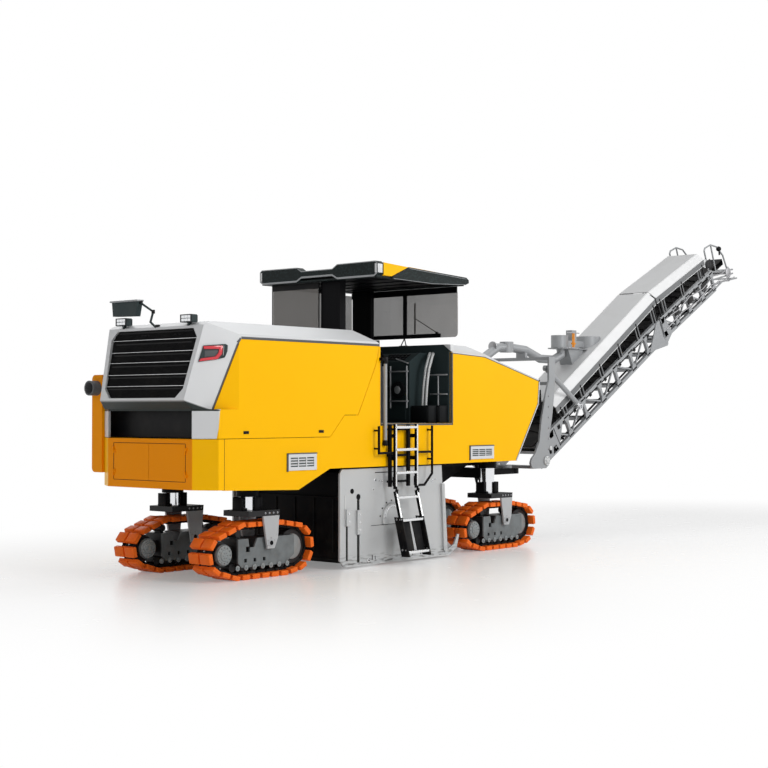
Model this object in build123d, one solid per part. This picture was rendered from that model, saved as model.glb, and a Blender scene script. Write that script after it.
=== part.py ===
"""Two metre class cold planer: a four-track milling machine with a slewing discharge conveyor.

+X points forwards, towards the conveyor's head, +Y to the left and +Z up, in millimetres. The origin
is on the ground under the middle of the whole machine, conveyor included. Distances named "ahead" are
measured forwards from the rear bumper's face.
"""

import os
from math import atan2, cos, degrees, hypot, radians, sin

from build123d import *

# ---------------------------------------------------------------- driving sizes
BUMPER_X = -7320.0  # row X of the rear bumper's face
SIDE_Y = 1050.0  # half width of the bodywork
WALL = 40.0  # a body panel with the stiffeners behind it
SEAM = 6.0  # gap between a moving panel and its neighbour
TOUCH = 0.3  # gap of two curved faces that rest on each other

# tracks
TRACK_GAUGE = 1386.0
REAR_TRACK = 1095.0  # ahead
FRONT_TRACK = 6100.0  # ahead
PAD_WIDTH = 370.0
PAD_HEIGHT = 50.0
PAD_COUNT = 24
PAD_FILL = 0.86  # share of a pitch that the pad covers
CHAIN_HEIGHT = 45.0
CHAIN_WIDTH = 190.0
ROLLER_WIDTH = 150.0
SPROCKET = (-654.0, 326.0, 161.0)  # offset along the track, height, radius inside the chain
IDLER = (600.0, 345.0, 215.0)
CARRIER = (330.0, 558.0, 47.0)  # both ways from the middle
TRACK_ROLLER_RADIUS = 55.0
TRACK_ROLLER_REACH = 430.0  # outermost roller's offset
TRACK_ROLLERS = 6
HUB_RADIUS = 130.0
TRACK_FRAME_BACK = -415.0
TRACK_FRAME_FRONT = 560.0
TRACK_FRAME_TOP = 500.0
TRACK_FRAME_WIDTH = 330.0
TRACK_WINDOWS = ((-250, 370, 65), (120, 400, 45), (-290, 235, 45), (-130, 235, 45), (30, 235, 45))

# legs
COLUMN_OFFSET = -95.0  # steering axis behind the track's middle
COLUMN_RADIUS = 105.0
SLEEVE_RADIUS = 140.0
SLEEVE_TOP = 1980.0
SLEEVE_CLAMP_Z = (1800.0, 1860.0)
YOKE_TOP = 835.0
YOKE_HEAD = 70.0
YOKE_ARM_WIDTH = 300.0
YOKE_ARM_THICKNESS = 28.0
YOKE_ARM_GAP = 8.0  # between an arm and the pads
YOKE_PIN_RADIUS = 45.0
YOKE_PIN_HEIGHT = 430.0
YOKE_PIN_OFFSET = 95.0

# bodywork
REAR_Z = 1120.0
SKIRT_Z = 1074.0
BELLY_Z = 1318.0
HOOD_SEAM_Z = 1730.0
SHOULDER_Z = 2980.0
HOOD_TOP_Z = 3130.0
CROWN_Y = 860.0  # half width of the flat top
REAR_LOW = (-130.0, 2190.0)  # lower edge of the leaning rear face, ahead and height
REAR_HIGH = (96.0, 3083.0)
SHROUD_CORNER = (-131.0, 770.0)  # ahead and half width where the angled corners start
HOOD_END = 3090.0
WORK_LAMP_Y = (-600.0, 600.0)
HOOD_HINGE = (3020.0, 3040.0)
HOOD_LUG_Y = (600.0, 650.0)
HOOD_LUG_RADIUS = 28.0
BUMPER_CORNER = 170.0  # depth of the bumper's angled corners
BUMPER_Y = 770.0
DOOR_Y = 660.0
DOOR_Z = (1210.0, 1670.0)
DOOR_THICKNESS = 36.0
DOOR_HINGE_X = -11.0
DOOR_BARREL = 10.0
DOOR_BARREL_Z = ((1260.0, 1300.0, 1340.0), (1620.0, 1580.0, 1540.0))  # bumper end, split, door end
GRILLE_Y = 790.0
GRILLE_LOW_Y = 720.0
GRILLE_Z = (2215.0, 3050.0)
SLAT_COUNT = 6
GRILLE_LEAP = 15.0  # how far the grille panel reaches behind its opening's edge
NOTCH = (3110.0, 4680.0)
FLOOR_Z = 1890.0
PARTITION_Y = 230.0
SILL_Z = 3003.0  # top of the stand's walls, under the glass
BELLY_END = FRONT_TRACK + 167.0
NOSE_BEND = (FRONT_TRACK + 745.0, 2165.0)
NOSE = (FRONT_TRACK + 780.0, 2537.0)
LOCKER_X = (130.0, 3000.0)
LOCKER_WIDTH = 200.0
LOCKER_Z = (1280.0, 2520.0)
LOCKER_ROUND = 60.0
INTAKE = (2350.0, 100.0)  # height and radius of the intake stub behind the locker

# milling gear
DRUM_AXIS = (3400.0, 620.0)
DRUM_RADIUS = 400.0
TOOL_REACH = 490.0
TOOL_RINGS = 13
TOOLS_IN_RING = 6
TOOL_SCREW = 135.0  # degrees that a screw turns on its way in
DRUM_Y = 915.0
HOUSING_X = (2610.0, 4220.0)
HOUSING_Y = 960.0
HOUSING_Z = (330.0, 1245.0)
HOUSING_WALL = 25.0
SIDE_PLATE = (975.0, 1000.0)
SIDE_PLATE_FOOT = 30.0
SIDE_PLATE_TOP = 1300.0
SCRAPER_TOP = 930.0

# main frame
BEAM_Y = (430.0, 530.0)
BEAM_Z = (1245.0, 1480.0)
FRAME_END = FRONT_TRACK + 100.0

# primary conveyor
PRIMARY_TAIL = (4300.0, 760.0)
PRIMARY_HEAD = (FRONT_TRACK + 1160.0, 1960.0)
PRIMARY_Y = 330.0
PRIMARY_DEPTH = 380.0

# discharge conveyor
SLEW_X = FRONT_TRACK + 1380.0
LIFT_PIVOT = (SLEW_X + 260.0, 1270.0)
DISCHARGE_FOOT = (SLEW_X + 420.0, 1130.0)
DISCHARGE_ANGLE = 29.2
DISCHARGE_LENGTH = 4570.0
HEAD_ANGLE = 27.3
HEAD_LENGTH = 2240.0
HEAD_TIP = (3180.0, -140.0)  # foremost guard bar, along and above the head's lower chord
GUARD_RADIUS = 16.0
HOOP_RADIUS = 15.0
DIAGONAL = 26.0
CHORD = 60.0
TRUSS_DEPTH = 430.0
TRUSS_Y = 400.0
COVER_Y = 420.0
COVER_FLAT_Y = 300.0  # half width of its flat top
COVER_SLOPE = 120.0  # fall of its sloping shoulders
COVER_DEPTH = 240.0
COVER_SHEET = 14.0
COVER_RISE = (810.0, 955.0, 870.0)  # at the foot, the fold and the head
COVER_START = 800.0  # along the lower section
COVER_JOIN = DISCHARGE_LENGTH - 10.0
COVER_END = 2000.0  # along the head section
BELT_SHEET = 14.0
BELT_RETURN = 300.0  # height of the returning run over the lower chord
RETURN_IDLER = 30.0
MAST_Y = (560.0, 592.0)
FOOT_RING_Z = 1150.0
HEAD_RING_Z = 2480.0
FOLD_DROP = 60.0  # fold axis below the lower chord
FOLD_PLATE = 18.0

# ladder
LADDER_X = (3300.0, 3750.0)
LADDER_Y = -1150.0
LADDER_HINGE_Y = -1180.0
LADDER_SPLIT = 1000.0
LADDER_FOOT = (130.0, -1365.0)  # height and y of the lowest step
RAIL_RADIUS = 17.0
THIN_BAR = 20.0  # a bar of a smaller radius is drawn with eight flats

# lashing eyes: bore places (ahead, height), inner faces of the plates
EYE_REAR = (2300.0, 1190.0)
EYE_FRONT = (FRONT_TRACK + 75.0, 995.0)
EYE_Y = 385.0
EYE_PLATE = 30.0
EYE_RADIUS = 30.0

# canopy
ROOF_X = (2990.0, 5010.0)
ROOF_Y = 1100.0
ROOF_TOP = 4060.0
ROOF_DROP = 90.0  # fall of the roof from its rear to its front
ROOF_DEPTH = 190.0
ROOF_BAND = 130.0  # length of the dark rear band
GLASS = 12.0
GLASS_Y = 1000.0
SCREEN_X = (3150.0, 4860.0)
SCREEN_Z = (3120.0, 3800.0)
FRONT_POST_Y = (440.0, 800.0)

# suction of the milling dust, and the lift cylinders
PIPE_RADIUS = 70.0
SWIVEL_RADIUS = 110.0
SWIVEL_GAP = 6.0
SWIVEL_Z = 3090.0
SWIVEL_DEPTH = 170.0
HOSE_END = 8690.0  # ahead, where the mast's pipe meets the fan's inlet
FAN_DECK_Z = 3110.0
CYLINDER_Y = 490.0
CYLINDER_TOP = (SLEW_X + 400.0, 2750.0)
CYLINDER_EYE = (1350.0, 400.0)  # along and above the lower chord
CYLINDER_RADIUS = 42.0
CYLINDER_BORE = 34.0
CYLINDER_ROD = 26.0
CYLINDER_LENGTH = 1050.0
CYLINDER_REACH = 1000.0  # rod from its piston to its eye
CYLINDER_PIN = 22.0
EYE_PLAY = 8.0  # room round the pin in the rod's eye


# ---------------------------------------------------------------- shapes used all over
def ahead(distance):
    """Row X of a place so far ahead of the rear bumper's face."""
    return BUMPER_X + distance


def block(x, y, z):
    """Box between pairs of limits, x ahead of the bumper."""
    size = [high - low for low, high in (x, y, z)]
    middle = (ahead(sum(x) / 2), sum(y) / 2, sum(z) / 2)
    return Pos(*middle) * Box(*size)


def side_slab(points, y):
    """Outline of (ahead, height) points, pushed across between two limits of y."""
    face = make_face(Polyline(*[(ahead(a), y[0], z) for a, z in points], close=True))
    return extrude(face, amount=y[1] - y[0], dir=(0, 1, 0))


def plan_slab(points, z):
    """Outline of (ahead, y) points, pushed up between two limits of z."""
    face = make_face(Polyline(*[(ahead(a), y, z[0]) for a, y in points], close=True))
    return extrude(face, amount=z[1] - z[0], dir=(0, 0, 1))


def end_slab(points, x):
    """Outline of (y, z) points, pushed forwards between two limits ahead."""
    face = make_face(Polyline(*[(ahead(x[0]), y, z) for y, z in points], close=True))
    return extrude(face, amount=x[1] - x[0], dir=(1, 0, 0))


def tube(start, end, radius):
    """Round bar between two (ahead, y, z) points."""
    first = Vector(ahead(start[0]), start[1], start[2])
    along = Vector(ahead(end[0]), end[1], end[2]) - first
    return extrude(Plane(first, z_dir=along) * Circle(radius), amount=along.length)


def bent_bar(places, radius):
    """Bar with mitred bends through a row of places: round, or eight-sided where it is thin."""
    first = Plane(places[0], z_dir=Vector(places[1]) - Vector(places[0]))
    section = Circle(radius) if radius > THIN_BAR else RegularPolygon(radius, 8)
    return sweep(first * section, path=Polyline(*places), transition=Transition.RIGHT)


def beam(start, end, width, depth):
    """Square-edged bar between two (ahead, y, z) points, width across Y where it can be."""
    first = Vector(ahead(start[0]), start[1], start[2])
    along = Vector(ahead(end[0]), end[1], end[2]) - first
    across = Vector(0, 1, 0) if abs(along.Y) < 0.9 * along.length else Vector(1, 0, 0)
    plane = Plane(first, x_dir=across - along * (across.dot(along) / along.length**2), z_dir=along)
    return extrude(plane * Rectangle(width, depth), amount=along.length)


def cross_tube(place, y, radius):
    """Round bar across the machine at an (ahead, height) place."""
    return tube((place[0], y[0], place[1]), (place[0], y[1], place[1]), radius)


def both(shape):
    """A shape and its mirror image on the machine's other side."""
    return shape + mirror(shape, about=Plane.XZ)


def mirrored(points):
    """Outline points (a, y) followed by their mirror images, to close a symmetrical outline."""
    return points + [(a, -y) for a, y in reversed(points)]


# ---------------------------------------------------------------- tracks and legs
def track_path(track, extra):
    """Outline round a track's wheels, so far outside the inner face of its chain."""
    bottom = PAD_HEIGHT + CHAIN_HEIGHT + TRACK_ROLLER_RADIUS
    wheels = [
        SPROCKET,
        IDLER,
        CARRIER,
        (-CARRIER[0], CARRIER[1], CARRIER[2]),
        (TRACK_ROLLER_REACH, bottom, TRACK_ROLLER_RADIUS),
        (-TRACK_ROLLER_REACH, bottom, TRACK_ROLLER_RADIUS),
    ]
    circles = [Pos(ahead(track + a), z) * Circle(radius + extra) for a, z, radius in wheels]
    return make_hull(Sketch(children=circles).edges())


def track_slab(sketch, y, width):
    """A sketch drawn in X and height, stood up and pushed across about a middle y."""
    upright = Pos(0, y + width / 2, 0) * Rot(90, 0, 0) * sketch
    return extrude(upright, amount=width, dir=(0, -1, 0))


def track_loop(track, y):
    """Chain of one track with its row of pads."""
    ring = track_path(track, CHAIN_HEIGHT) - track_path(track, 0)
    loop = track_slab(ring, y, CHAIN_WIDTH)
    run = track_path(track, CHAIN_HEIGHT).faces()[0].outer_wire()
    middle = Vector(ahead(track), IDLER[1])
    pitch = run.length / PAD_COUNT
    sink = CHAIN_HEIGHT / 3
    for index in range(PAD_COUNT):
        place = run.position_at(index / PAD_COUNT)
        heading = run.tangent_at(index / PAD_COUNT)
        pad = Box(PAD_FILL * pitch, PAD_WIDTH, PAD_HEIGHT + sink)
        tilt = degrees(atan2(heading.Y, heading.X))
        outward = Vector(heading.Y, -heading.X) * (PAD_HEIGHT - sink) / 2
        if outward.dot(place - middle) < 0:
            outward = -outward
        loop += Pos(place.X + outward.X, y, place.Y + outward.Y) * Rot(0, -tilt, 0) * pad
    return loop


def track_frame(track, y):
    """Roller frame with its rollers, sprocket hub, idler and carrier rollers."""
    low = PAD_HEIGHT + CHAIN_HEIGHT + TRACK_ROLLER_RADIUS
    outline = [
        (TRACK_FRAME_BACK, low + 60), (TRACK_FRAME_BACK + 60, low), (TRACK_FRAME_FRONT - 160, low),
        (TRACK_FRAME_FRONT, low + 110), (TRACK_FRAME_FRONT, TRACK_FRAME_TOP),
        (TRACK_FRAME_BACK + 330, TRACK_FRAME_TOP), (TRACK_FRAME_BACK + 270, TRACK_FRAME_TOP - 110),
        (TRACK_FRAME_BACK + 190, TRACK_FRAME_TOP - 110), (TRACK_FRAME_BACK + 170, TRACK_FRAME_TOP),
        (TRACK_FRAME_BACK, TRACK_FRAME_TOP),
    ]
    half = TRACK_FRAME_WIDTH / 2
    frame = side_slab([(track + a, z) for a, z in outline], (y - half, y + half))
    for offset, height, size in TRACK_WINDOWS:
        window = Pos(ahead(track + offset), y, height) * Box(size, 3 * half, size)
        frame -= window
    reach = 2 * TRACK_ROLLER_REACH / (TRACK_ROLLERS - 1)
    for index in range(TRACK_ROLLERS):
        place = (track - TRACK_ROLLER_REACH + index * reach, low)
        across = (y - ROLLER_WIDTH / 2, y + ROLLER_WIDTH / 2)
        frame += cross_tube(place, across, TRACK_ROLLER_RADIUS - TOUCH)
    return frame


def track_wheels(track, y):
    """Drive wheel with its hub, idler wheel and carrier rollers, on arms out of the roller frame."""
    across = (y - ROLLER_WIDTH / 2, y + ROLLER_WIDTH / 2)
    hub_across = (y - TRACK_FRAME_WIDTH / 2, y + TRACK_FRAME_WIDTH / 2)
    drive = (track + SPROCKET[0], SPROCKET[1])
    idler = (track + IDLER[0], IDLER[1])
    wheels = cross_tube(drive, across, SPROCKET[2] - TOUCH)
    wheels += cross_tube(drive, hub_across, HUB_RADIUS)
    wheels += cross_tube(idler, across, IDLER[2] - TOUCH)
    arm_y = (y - ROLLER_WIDTH / 2 + 20, y + ROLLER_WIDTH / 2 - 20)
    wheels += side_slab(
        [(drive[0], drive[1] - 70), (track + TRACK_FRAME_BACK + 20, 250),
         (track + TRACK_FRAME_BACK + 20, 410), (drive[0], drive[1] + 70)], arm_y)
    for side in (-1, 1):
        place = (track + side * CARRIER[0], CARRIER[1])
        wheels += cross_tube(place, across, CARRIER[2] - TOUCH)
        foot = (place[0] - 25, place[0] + 25)
        wheels += block(foot, arm_y, (TRACK_FRAME_TOP - 140, CARRIER[1]))
    return wheels


def yoke(track, y):
    """Fork over the track: head, two arms, the pin through the frame, the column and its lift rod."""
    axis = track + COLUMN_OFFSET
    half = PAD_WIDTH / 2 + YOKE_ARM_GAP + YOKE_ARM_THICKNESS
    head_low = YOKE_TOP - YOKE_HEAD
    pin = track + YOKE_PIN_OFFSET
    fork = block((axis - 200, pin + YOKE_ARM_WIDTH / 2 - 10), (y - half, y + half), (head_low, YOKE_TOP))
    arm = [
        (pin - YOKE_ARM_WIDTH / 2, YOKE_TOP), (pin - 60, YOKE_PIN_HEIGHT - 70),
        (pin + 60, YOKE_PIN_HEIGHT - 70), (pin + YOKE_ARM_WIDTH / 2 - 30, YOKE_PIN_HEIGHT + 60),
        (pin + YOKE_ARM_WIDTH / 2, YOKE_TOP),
    ]
    for side in (-1, 1):
        faces = sorted((y + side * half, y + side * (half - YOKE_ARM_THICKNESS)))
        fork += side_slab(arm, faces)
    fork += cross_tube((pin, YOKE_PIN_HEIGHT), (y - half - 6, y + half + 6), YOKE_PIN_RADIUS)
    fork += tube((axis, y, head_low), (axis, y, SLEEVE_TOP - 60), COLUMN_RADIUS)
    return fork


def leg(track, y):
    """Everything of one leg that steers, except its chain and pads."""
    return track_frame(track, y) + track_wheels(track, y) + yoke(track, y)


def column_sleeves():
    """Four outer tubes in the chassis that the columns rise into."""
    sleeves = None
    for track, low in ((REAR_TRACK, SKIRT_Z - 70), (FRONT_TRACK, BELLY_Z - 110)):
        for side in (-1, 1):
            axis = (track + COLUMN_OFFSET, side * TRACK_GAUGE / 2)
            outer = tube((*axis, low), (*axis, SLEEVE_TOP), SLEEVE_RADIUS)
            outer -= tube((*axis, low - 1), (*axis, SLEEVE_TOP - 30), COLUMN_RADIUS + TOUCH)
            sleeves = outer if sleeves is None else sleeves + outer
    return sleeves


# ---------------------------------------------------------------- main frame and engine
def main_frame():
    """Two long beams with cross members, the brackets of the column sleeves and the lashing eyes."""
    frame = both(block((250, FRAME_END), BEAM_Y, BEAM_Z))
    inner = (-BEAM_Y[0] - 5, BEAM_Y[0] + 5)
    for middle, z in ((420, BEAM_Z), (1700, BEAM_Z), (2300, BEAM_Z), (5200, (1420, BEAM_Z[1]))):
        frame += block((middle - 90, middle + 90), inner, z)
    reach = (BEAM_Y[1] - 5, TRACK_GAUGE / 2)
    for track in (REAR_TRACK, FRONT_TRACK):
        axis = track + COLUMN_OFFSET
        bracket = block((axis - 170, axis + 170), reach, (BEAM_Z[0] + 20, BEAM_Z[1] - 20))
        bracket += block((axis - 170, axis + 170), (reach[0] - 60, reach[1]), SLEEVE_CLAMP_Z)
        bracket += block((axis - 60, axis + 60), BEAM_Y, (BEAM_Z[1], SLEEVE_CLAMP_Z[1]))
        hole = tube((axis, TRACK_GAUGE / 2, 1000), (axis, TRACK_GAUGE / 2, 2100), SLEEVE_RADIUS)
        frame += both(bracket - hole)
    for middle in (420, 2250, 4900):
        wing = block((middle - 60, middle + 60), (BEAM_Y[1] - 5, SIDE_Y - WALL), (1340, 1460))
        frame += both(wing)
    last = (FRAME_END - 160, FRAME_END)
    frame += block(last, (-BEAM_Y[1], BEAM_Y[1]), (1050, 1200))
    frame += both(block(last, BEAM_Y, (1190, BEAM_Z[0] + 5)))
    eyes = lashing_eye(EYE_FRONT, EYE_Y, 1050) + lashing_eye(EYE_REAR, EYE_Y, BEAM_Z[0] + 5)
    return frame + both(eyes)


def lashing_eye(place, y, top):
    """Tapered plate with a bore for a shackle, hanging from a height."""
    ahead_of, z = place
    outline = [(ahead_of - 80, top), (ahead_of + 80, top), (ahead_of + 40, z - 50), (ahead_of - 40, z - 50)]
    eye = side_slab(outline, (y, y + EYE_PLATE))
    return eye - cross_tube(place, (y - 1, y + EYE_PLATE + 1), EYE_RADIUS)


def engine():
    """Engine block on the beams, with the cooler behind the grille."""
    block_and_head = block((1100, 2400), (-BEAM_Y[0] - 20, BEAM_Y[0] + 20), (BEAM_Z[1], 2550))
    foot_top = BEAM_Z[1] + 240
    cooler = block((330, 520), (-700, 700), (foot_top, 2860))
    return block_and_head + cooler + block((340, 510), (-500, 500), (BEAM_Z[1], foot_top))


# ---------------------------------------------------------------- bodywork
def hood_volume(inset):
    """Outer form of the tilting hood, drawn in by an inset all round and left open in front."""
    side = SIDE_Y - inset
    profile = [
        (0 + inset, HOOD_SEAM_Z), (0 + inset, 2060 + inset), (REAR_LOW[0] + inset, REAR_LOW[1]),
        (REAR_HIGH[0] + inset, REAR_HIGH[1]), (180 + inset, HOOD_TOP_Z - inset),
        (2760, HOOD_TOP_Z - inset), (HOOD_END, SHOULDER_Z - 20 - inset),
        (HOOD_END, HOOD_SEAM_Z),
    ]
    body = side_slab(profile, (-side, side))
    half = [(side, HOOD_SEAM_Z), (side, SHOULDER_Z - inset / 2), (CROWN_Y - inset / 2, HOOD_TOP_Z - inset)]
    section = half + [(-y, z) for y, z in reversed(half)]
    body &= end_slab(section, (-300, HOOD_END))
    shroud = mirrored([(SHROUD_CORNER[0] + inset, SHROUD_CORNER[1] - inset), (500, side), (HOOD_END, side)])
    lower = mirrored([(0, BUMPER_Y - inset), (BUMPER_CORNER, side), (HOOD_END, side)])
    upper_half = body & plan_slab(shroud, (2080, 3300))
    lower_half = body & plan_slab(lower, (HOOD_SEAM_Z, 2080))
    return upper_half + lower_half


def hood_shell():
    """Hood as panels: its form less its hollow, less all that is ahead of the split line."""
    shell = hood_volume(0) - hood_volume(WALL)
    ahead_of_split = [
        (2120, HOOD_SEAM_Z), (2400, 2010), (2660, 2010), (3020, 2680), (HOOD_END - 1, 2920),
        (3300, 2920), (3300, 1600), (2120, 1600),
    ]
    return shell - side_slab(ahead_of_split, (-1200, 1200))


def yellow_region():
    """Side outline inside which the hood is painted in the machine's main colour."""
    return [
        (157, HOOD_SEAM_Z - 10), (191, 2049), (489, 2860), (540, 2922), (3200, 2922), (3200, HOOD_SEAM_Z - 10),
    ]


def hood_sides():
    """Painted side panels of the hood."""
    return hood_shell() & side_slab(yellow_region(), (-1200, 1200))


def hood_crown():
    """Light top and rear surround of the hood."""
    crown = hood_shell() - side_slab(yellow_region(), (-1200, 1200))
    crown -= end_slab(grille_outline(0), (-300, 260))
    crown -= block((-200, 130), (-BUMPER_Y, BUMPER_Y), (HOOD_SEAM_Z - 5, 2060))
    lug = side_slab(hinge_outline(-60, 20, 90), HOOD_LUG_Y)
    return crown + both(lug + cross_tube(HOOD_HINGE, HOOD_LUG_Y, HOOD_LUG_RADIUS))


def hinge_outline(back, front, drop):
    """Outline of a hinge lug, from a foot so far below the hood's hinge line up to that line."""
    x, z = HOOD_HINGE
    return [(x + back, z - drop), (x + front, z - drop), (x + HOOD_LUG_RADIUS, z), (x - HOOD_LUG_RADIUS, z)]


def mirrored_end(points):
    """Outline points (y, z) followed by their mirror images."""
    return points + [(-y, z) for y, z in reversed(points)]


def grille_slope(z):
    """Place ahead of the leaning rear face at a height."""
    share = (z - REAR_LOW[1]) / (REAR_HIGH[1] - REAR_LOW[1])
    return REAR_LOW[0] + (REAR_HIGH[0] - REAR_LOW[0]) * share


def grille_outline(leap):
    """Outline (y, z) of the grille's opening, widened by a leap all round."""
    low, high = GRILLE_Z
    return mirrored_end([
        (610, low - leap), (GRILLE_LOW_Y + leap, low + 110 - leap), (GRILLE_Y + leap, high - 110 + leap),
        (700, high + leap),
    ])


def grille():
    """Dark panel behind the grille opening, its bright slats and the plate that closes the recess."""
    low, high = GRILLE_Z
    ends = [(grille_slope(z) + WALL, z) for z in (low - GRILLE_LEAP + 2, high + GRILLE_LEAP)]
    panel = side_slab(ends + [(x + 20, z) for x, z in reversed(ends)], (-GRILLE_Y - 30, GRILLE_Y + 30))
    panel &= end_slab(grille_outline(GRILLE_LEAP), (-300, 260))
    for index in range(SLAT_COUNT):
        z = low + (index + 0.8) * (high - low) / SLAT_COUNT
        face = grille_slope(z) + WALL
        half = GRILLE_LOW_Y - 25 - 110 * max(0, 1 - (z - low) / 110)
        panel += block((face - 18, face + 8), (-half, half), (z - 9, z + 9))
    recess = block((190, 210), (-SIDE_Y + WALL, SIDE_Y - WALL), (HOOD_SEAM_Z + 5, 2060))
    return panel + recess


def shroud_plate(points, start, end):
    """Outline of (along, height) points on the shroud's angled corner, from one depth out to another."""
    corner = Vector(ahead(SHROUD_CORNER[0]), -SHROUD_CORNER[1], 0)
    run = (Vector(ahead(500), -SIDE_Y, 0) - corner).normalized()
    outward = Vector(run.Y, -run.X, 0)
    plane = Plane(corner + outward * start, x_dir=run, z_dir=outward)
    return extrude(plane * make_face(Polyline(*points, close=True)), amount=end - start)


def hood_lamps():
    """Tail lamps on the shroud's corners, work lamps and a mirror over its rear edge."""
    outline = [
        (244, 2836), (520, 2857), (544, 2842), (540, 2771), (507, 2696), (397, 2670), (183, 2639), (188, 2663),
    ]
    lamps = both(shroud_plate(outline, 0, 16))
    for y in WORK_LAMP_Y:
        lamps += block((60, 150), (y - 95, y + 95), (3120, 3215))
        lamps += block((95, 135), (y - 15, y + 15), (3000, 3125))
    lamps += end_slab([(305, 3230), (259, 3417), (757, 3417), (737, 3240)], (40, 120))
    lamps += block((20, 125), (250, 770), (3415, 3432))
    arm = [(90, 275, 3400), (90, 30, 3275), (90, 80, 3150), (110, -30, 3060)]
    lamps += bent_bar([(ahead(place), y, z) for place, y, z in arm], 14)
    return lamps - hood_volume(0)


def rear_bumper():
    """Painted rear box under the hood with its door openings."""
    top = HOOD_SEAM_Z - SEAM
    outer = mirrored([(0, BUMPER_Y), (BUMPER_CORNER, SIDE_Y), (260, SIDE_Y)])
    hollow = mirrored([(WALL, BUMPER_Y - 15), (BUMPER_CORNER + 20, SIDE_Y - WALL), (261, SIDE_Y - WALL)])
    shell = plan_slab(outer, (REAR_Z, top)) - plan_slab(hollow, (REAR_Z + WALL, top - WALL))
    opening = block((-10, WALL + 10), (-DOOR_Y, DOOR_Y), DOOR_Z)
    return shell - opening + both(door_barrels(1, 0, DOOR_Y + 1))


def door_barrels(side, first, root_y):
    """Hinge barrels of one door: the bumper's with first 0, the door's own with first 1."""
    barrels = None
    leaf_x = (DOOR_HINGE_X, 4) if first else (DOOR_HINGE_X - 4, 0)
    leaf_y = sorted((side * DOOR_Y, side * (root_y + (-30 if first else 30))))
    for ends in DOOR_BARREL_Z:
        low, high = sorted(ends[first:first + 2])
        barrel = tube((DOOR_HINGE_X, side * DOOR_Y, low), (DOOR_HINGE_X, side * DOOR_Y, high), DOOR_BARREL)
        barrel += block(leaf_x, leaf_y, (low, high))
        barrels = barrel if barrels is None else barrels + barrel
    return barrels


def bumper_door(side):
    """One of the two doors in the bumper."""
    edges = sorted((side * 3, side * (DOOR_Y - SEAM)))
    door = block((0, DOOR_THICKNESS), edges, (DOOR_Z[0] + SEAM, DOOR_Z[1] - SEAM))
    return door + door_barrels(side, 1, DOOR_Y)


def side_outline(notched):
    """Outline of a fixed side panel: the rear skirt, the middle and the front body."""
    shoulder = SHOULDER_Z - 58
    start = HOOD_END + SEAM
    top = [(start, shoulder), (NOTCH[1], 2893)]
    if notched:
        post = NOTCH[0] + 4
        top = [(start, shoulder), (post, shoulder), (post, FLOOR_Z), (NOTCH[1], FLOOR_Z), (NOTCH[1], 2893)]
    rear = [
        (260, HOOD_SEAM_Z - SEAM), (260, 1114), (1535, SKIRT_Z), (2118, 1322), (BELLY_END, BELLY_Z),
        NOSE_BEND, NOSE, (5463, 2858),
    ]
    split = [
        (3020 + SEAM, 2680 - SEAM), (2660 + SEAM, 2010 - SEAM), (2400 + SEAM / 2, 2010 - SEAM),
        (2120 + SEAM / 2, HOOD_SEAM_Z - SEAM),
    ]
    return rear + list(reversed(top)) + split


def side_panels():
    """Fixed painted side panels, the right one cut out for the way up to the platform."""
    right = side_slab(side_outline(True), (-SIDE_Y, -SIDE_Y + WALL))
    left = side_slab(side_outline(False), (SIDE_Y - WALL, SIDE_Y))
    return right + left


def front_cover():
    """Light top of the front body, following the fall of the side panels, with its nose."""
    start = NOTCH[1] + 40
    nose = [NOSE, (NOSE[0] - 20, NOSE[1] - WALL)]
    middle = [(start, 3010), (5167, 2996), (5614, 2900), *nose, (5600, 2858), (5160, 2950), (start, 2960)]
    cover = side_slab(middle, (-SIDE_Y + 120, SIDE_Y - 120))
    shoulder = [(start, 2925), (5463, 2890), *nose, (5463, 2818), (start, 2860)]
    riser = [(start, 2925), (5463, 2890), (5614, 2900), (5167, 2996), (start, 3010)]
    cover += both(side_slab(shoulder, (SIDE_Y - 125, SIDE_Y - WALL)))
    return cover + both(side_slab(riser, (SIDE_Y - 140, SIDE_Y - 120)))


def front_wall():
    """Plates that close the front body below the nose, beside the primary conveyor."""
    low, bend = BELLY_Z + 22, (NOSE_BEND[0] - 15, NOSE_BEND[1])
    outline = [
        (NOSE[0] - 24, NOSE[1] - WALL - 4), bend, (BELLY_END, low), (BELLY_END - 50, low),
        (bend[0] - 40, bend[1] + 15), (NOSE[0] - 50, NOSE[1] - 57),
    ]
    wall = side_slab(outline, (-SIDE_Y + WALL, SIDE_Y - WALL))
    gap = PRIMARY_Y + 60
    return wall - block((BELLY_END - 300, NOSE[0] + 100), (-gap, gap), (BELLY_Z - 20, NOSE[1] - 207))


def side_lamps():
    """Vent and lamp inserts on the side panels."""
    front = both(lamp_insert((5092, 5665), (1367, 1554)))
    rear = lamp_insert((1333, 1855), (1317, 1523))
    return front + mirror(rear, about=Plane.XZ)


def lamp_insert(x, z):
    """Frame with three cells, standing proud of the left side."""
    insert = block(x, (SIDE_Y, SIDE_Y + 14), z)
    cell = (x[1] - x[0] - 140) / 3
    for index in range(3):
        start = x[0] + 50 + index * (cell + 20)
        insert -= block((start, start + cell), (SIDE_Y + 6, SIDE_Y + 20), (z[0] + 45, z[1] - 45))
    return insert


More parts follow.
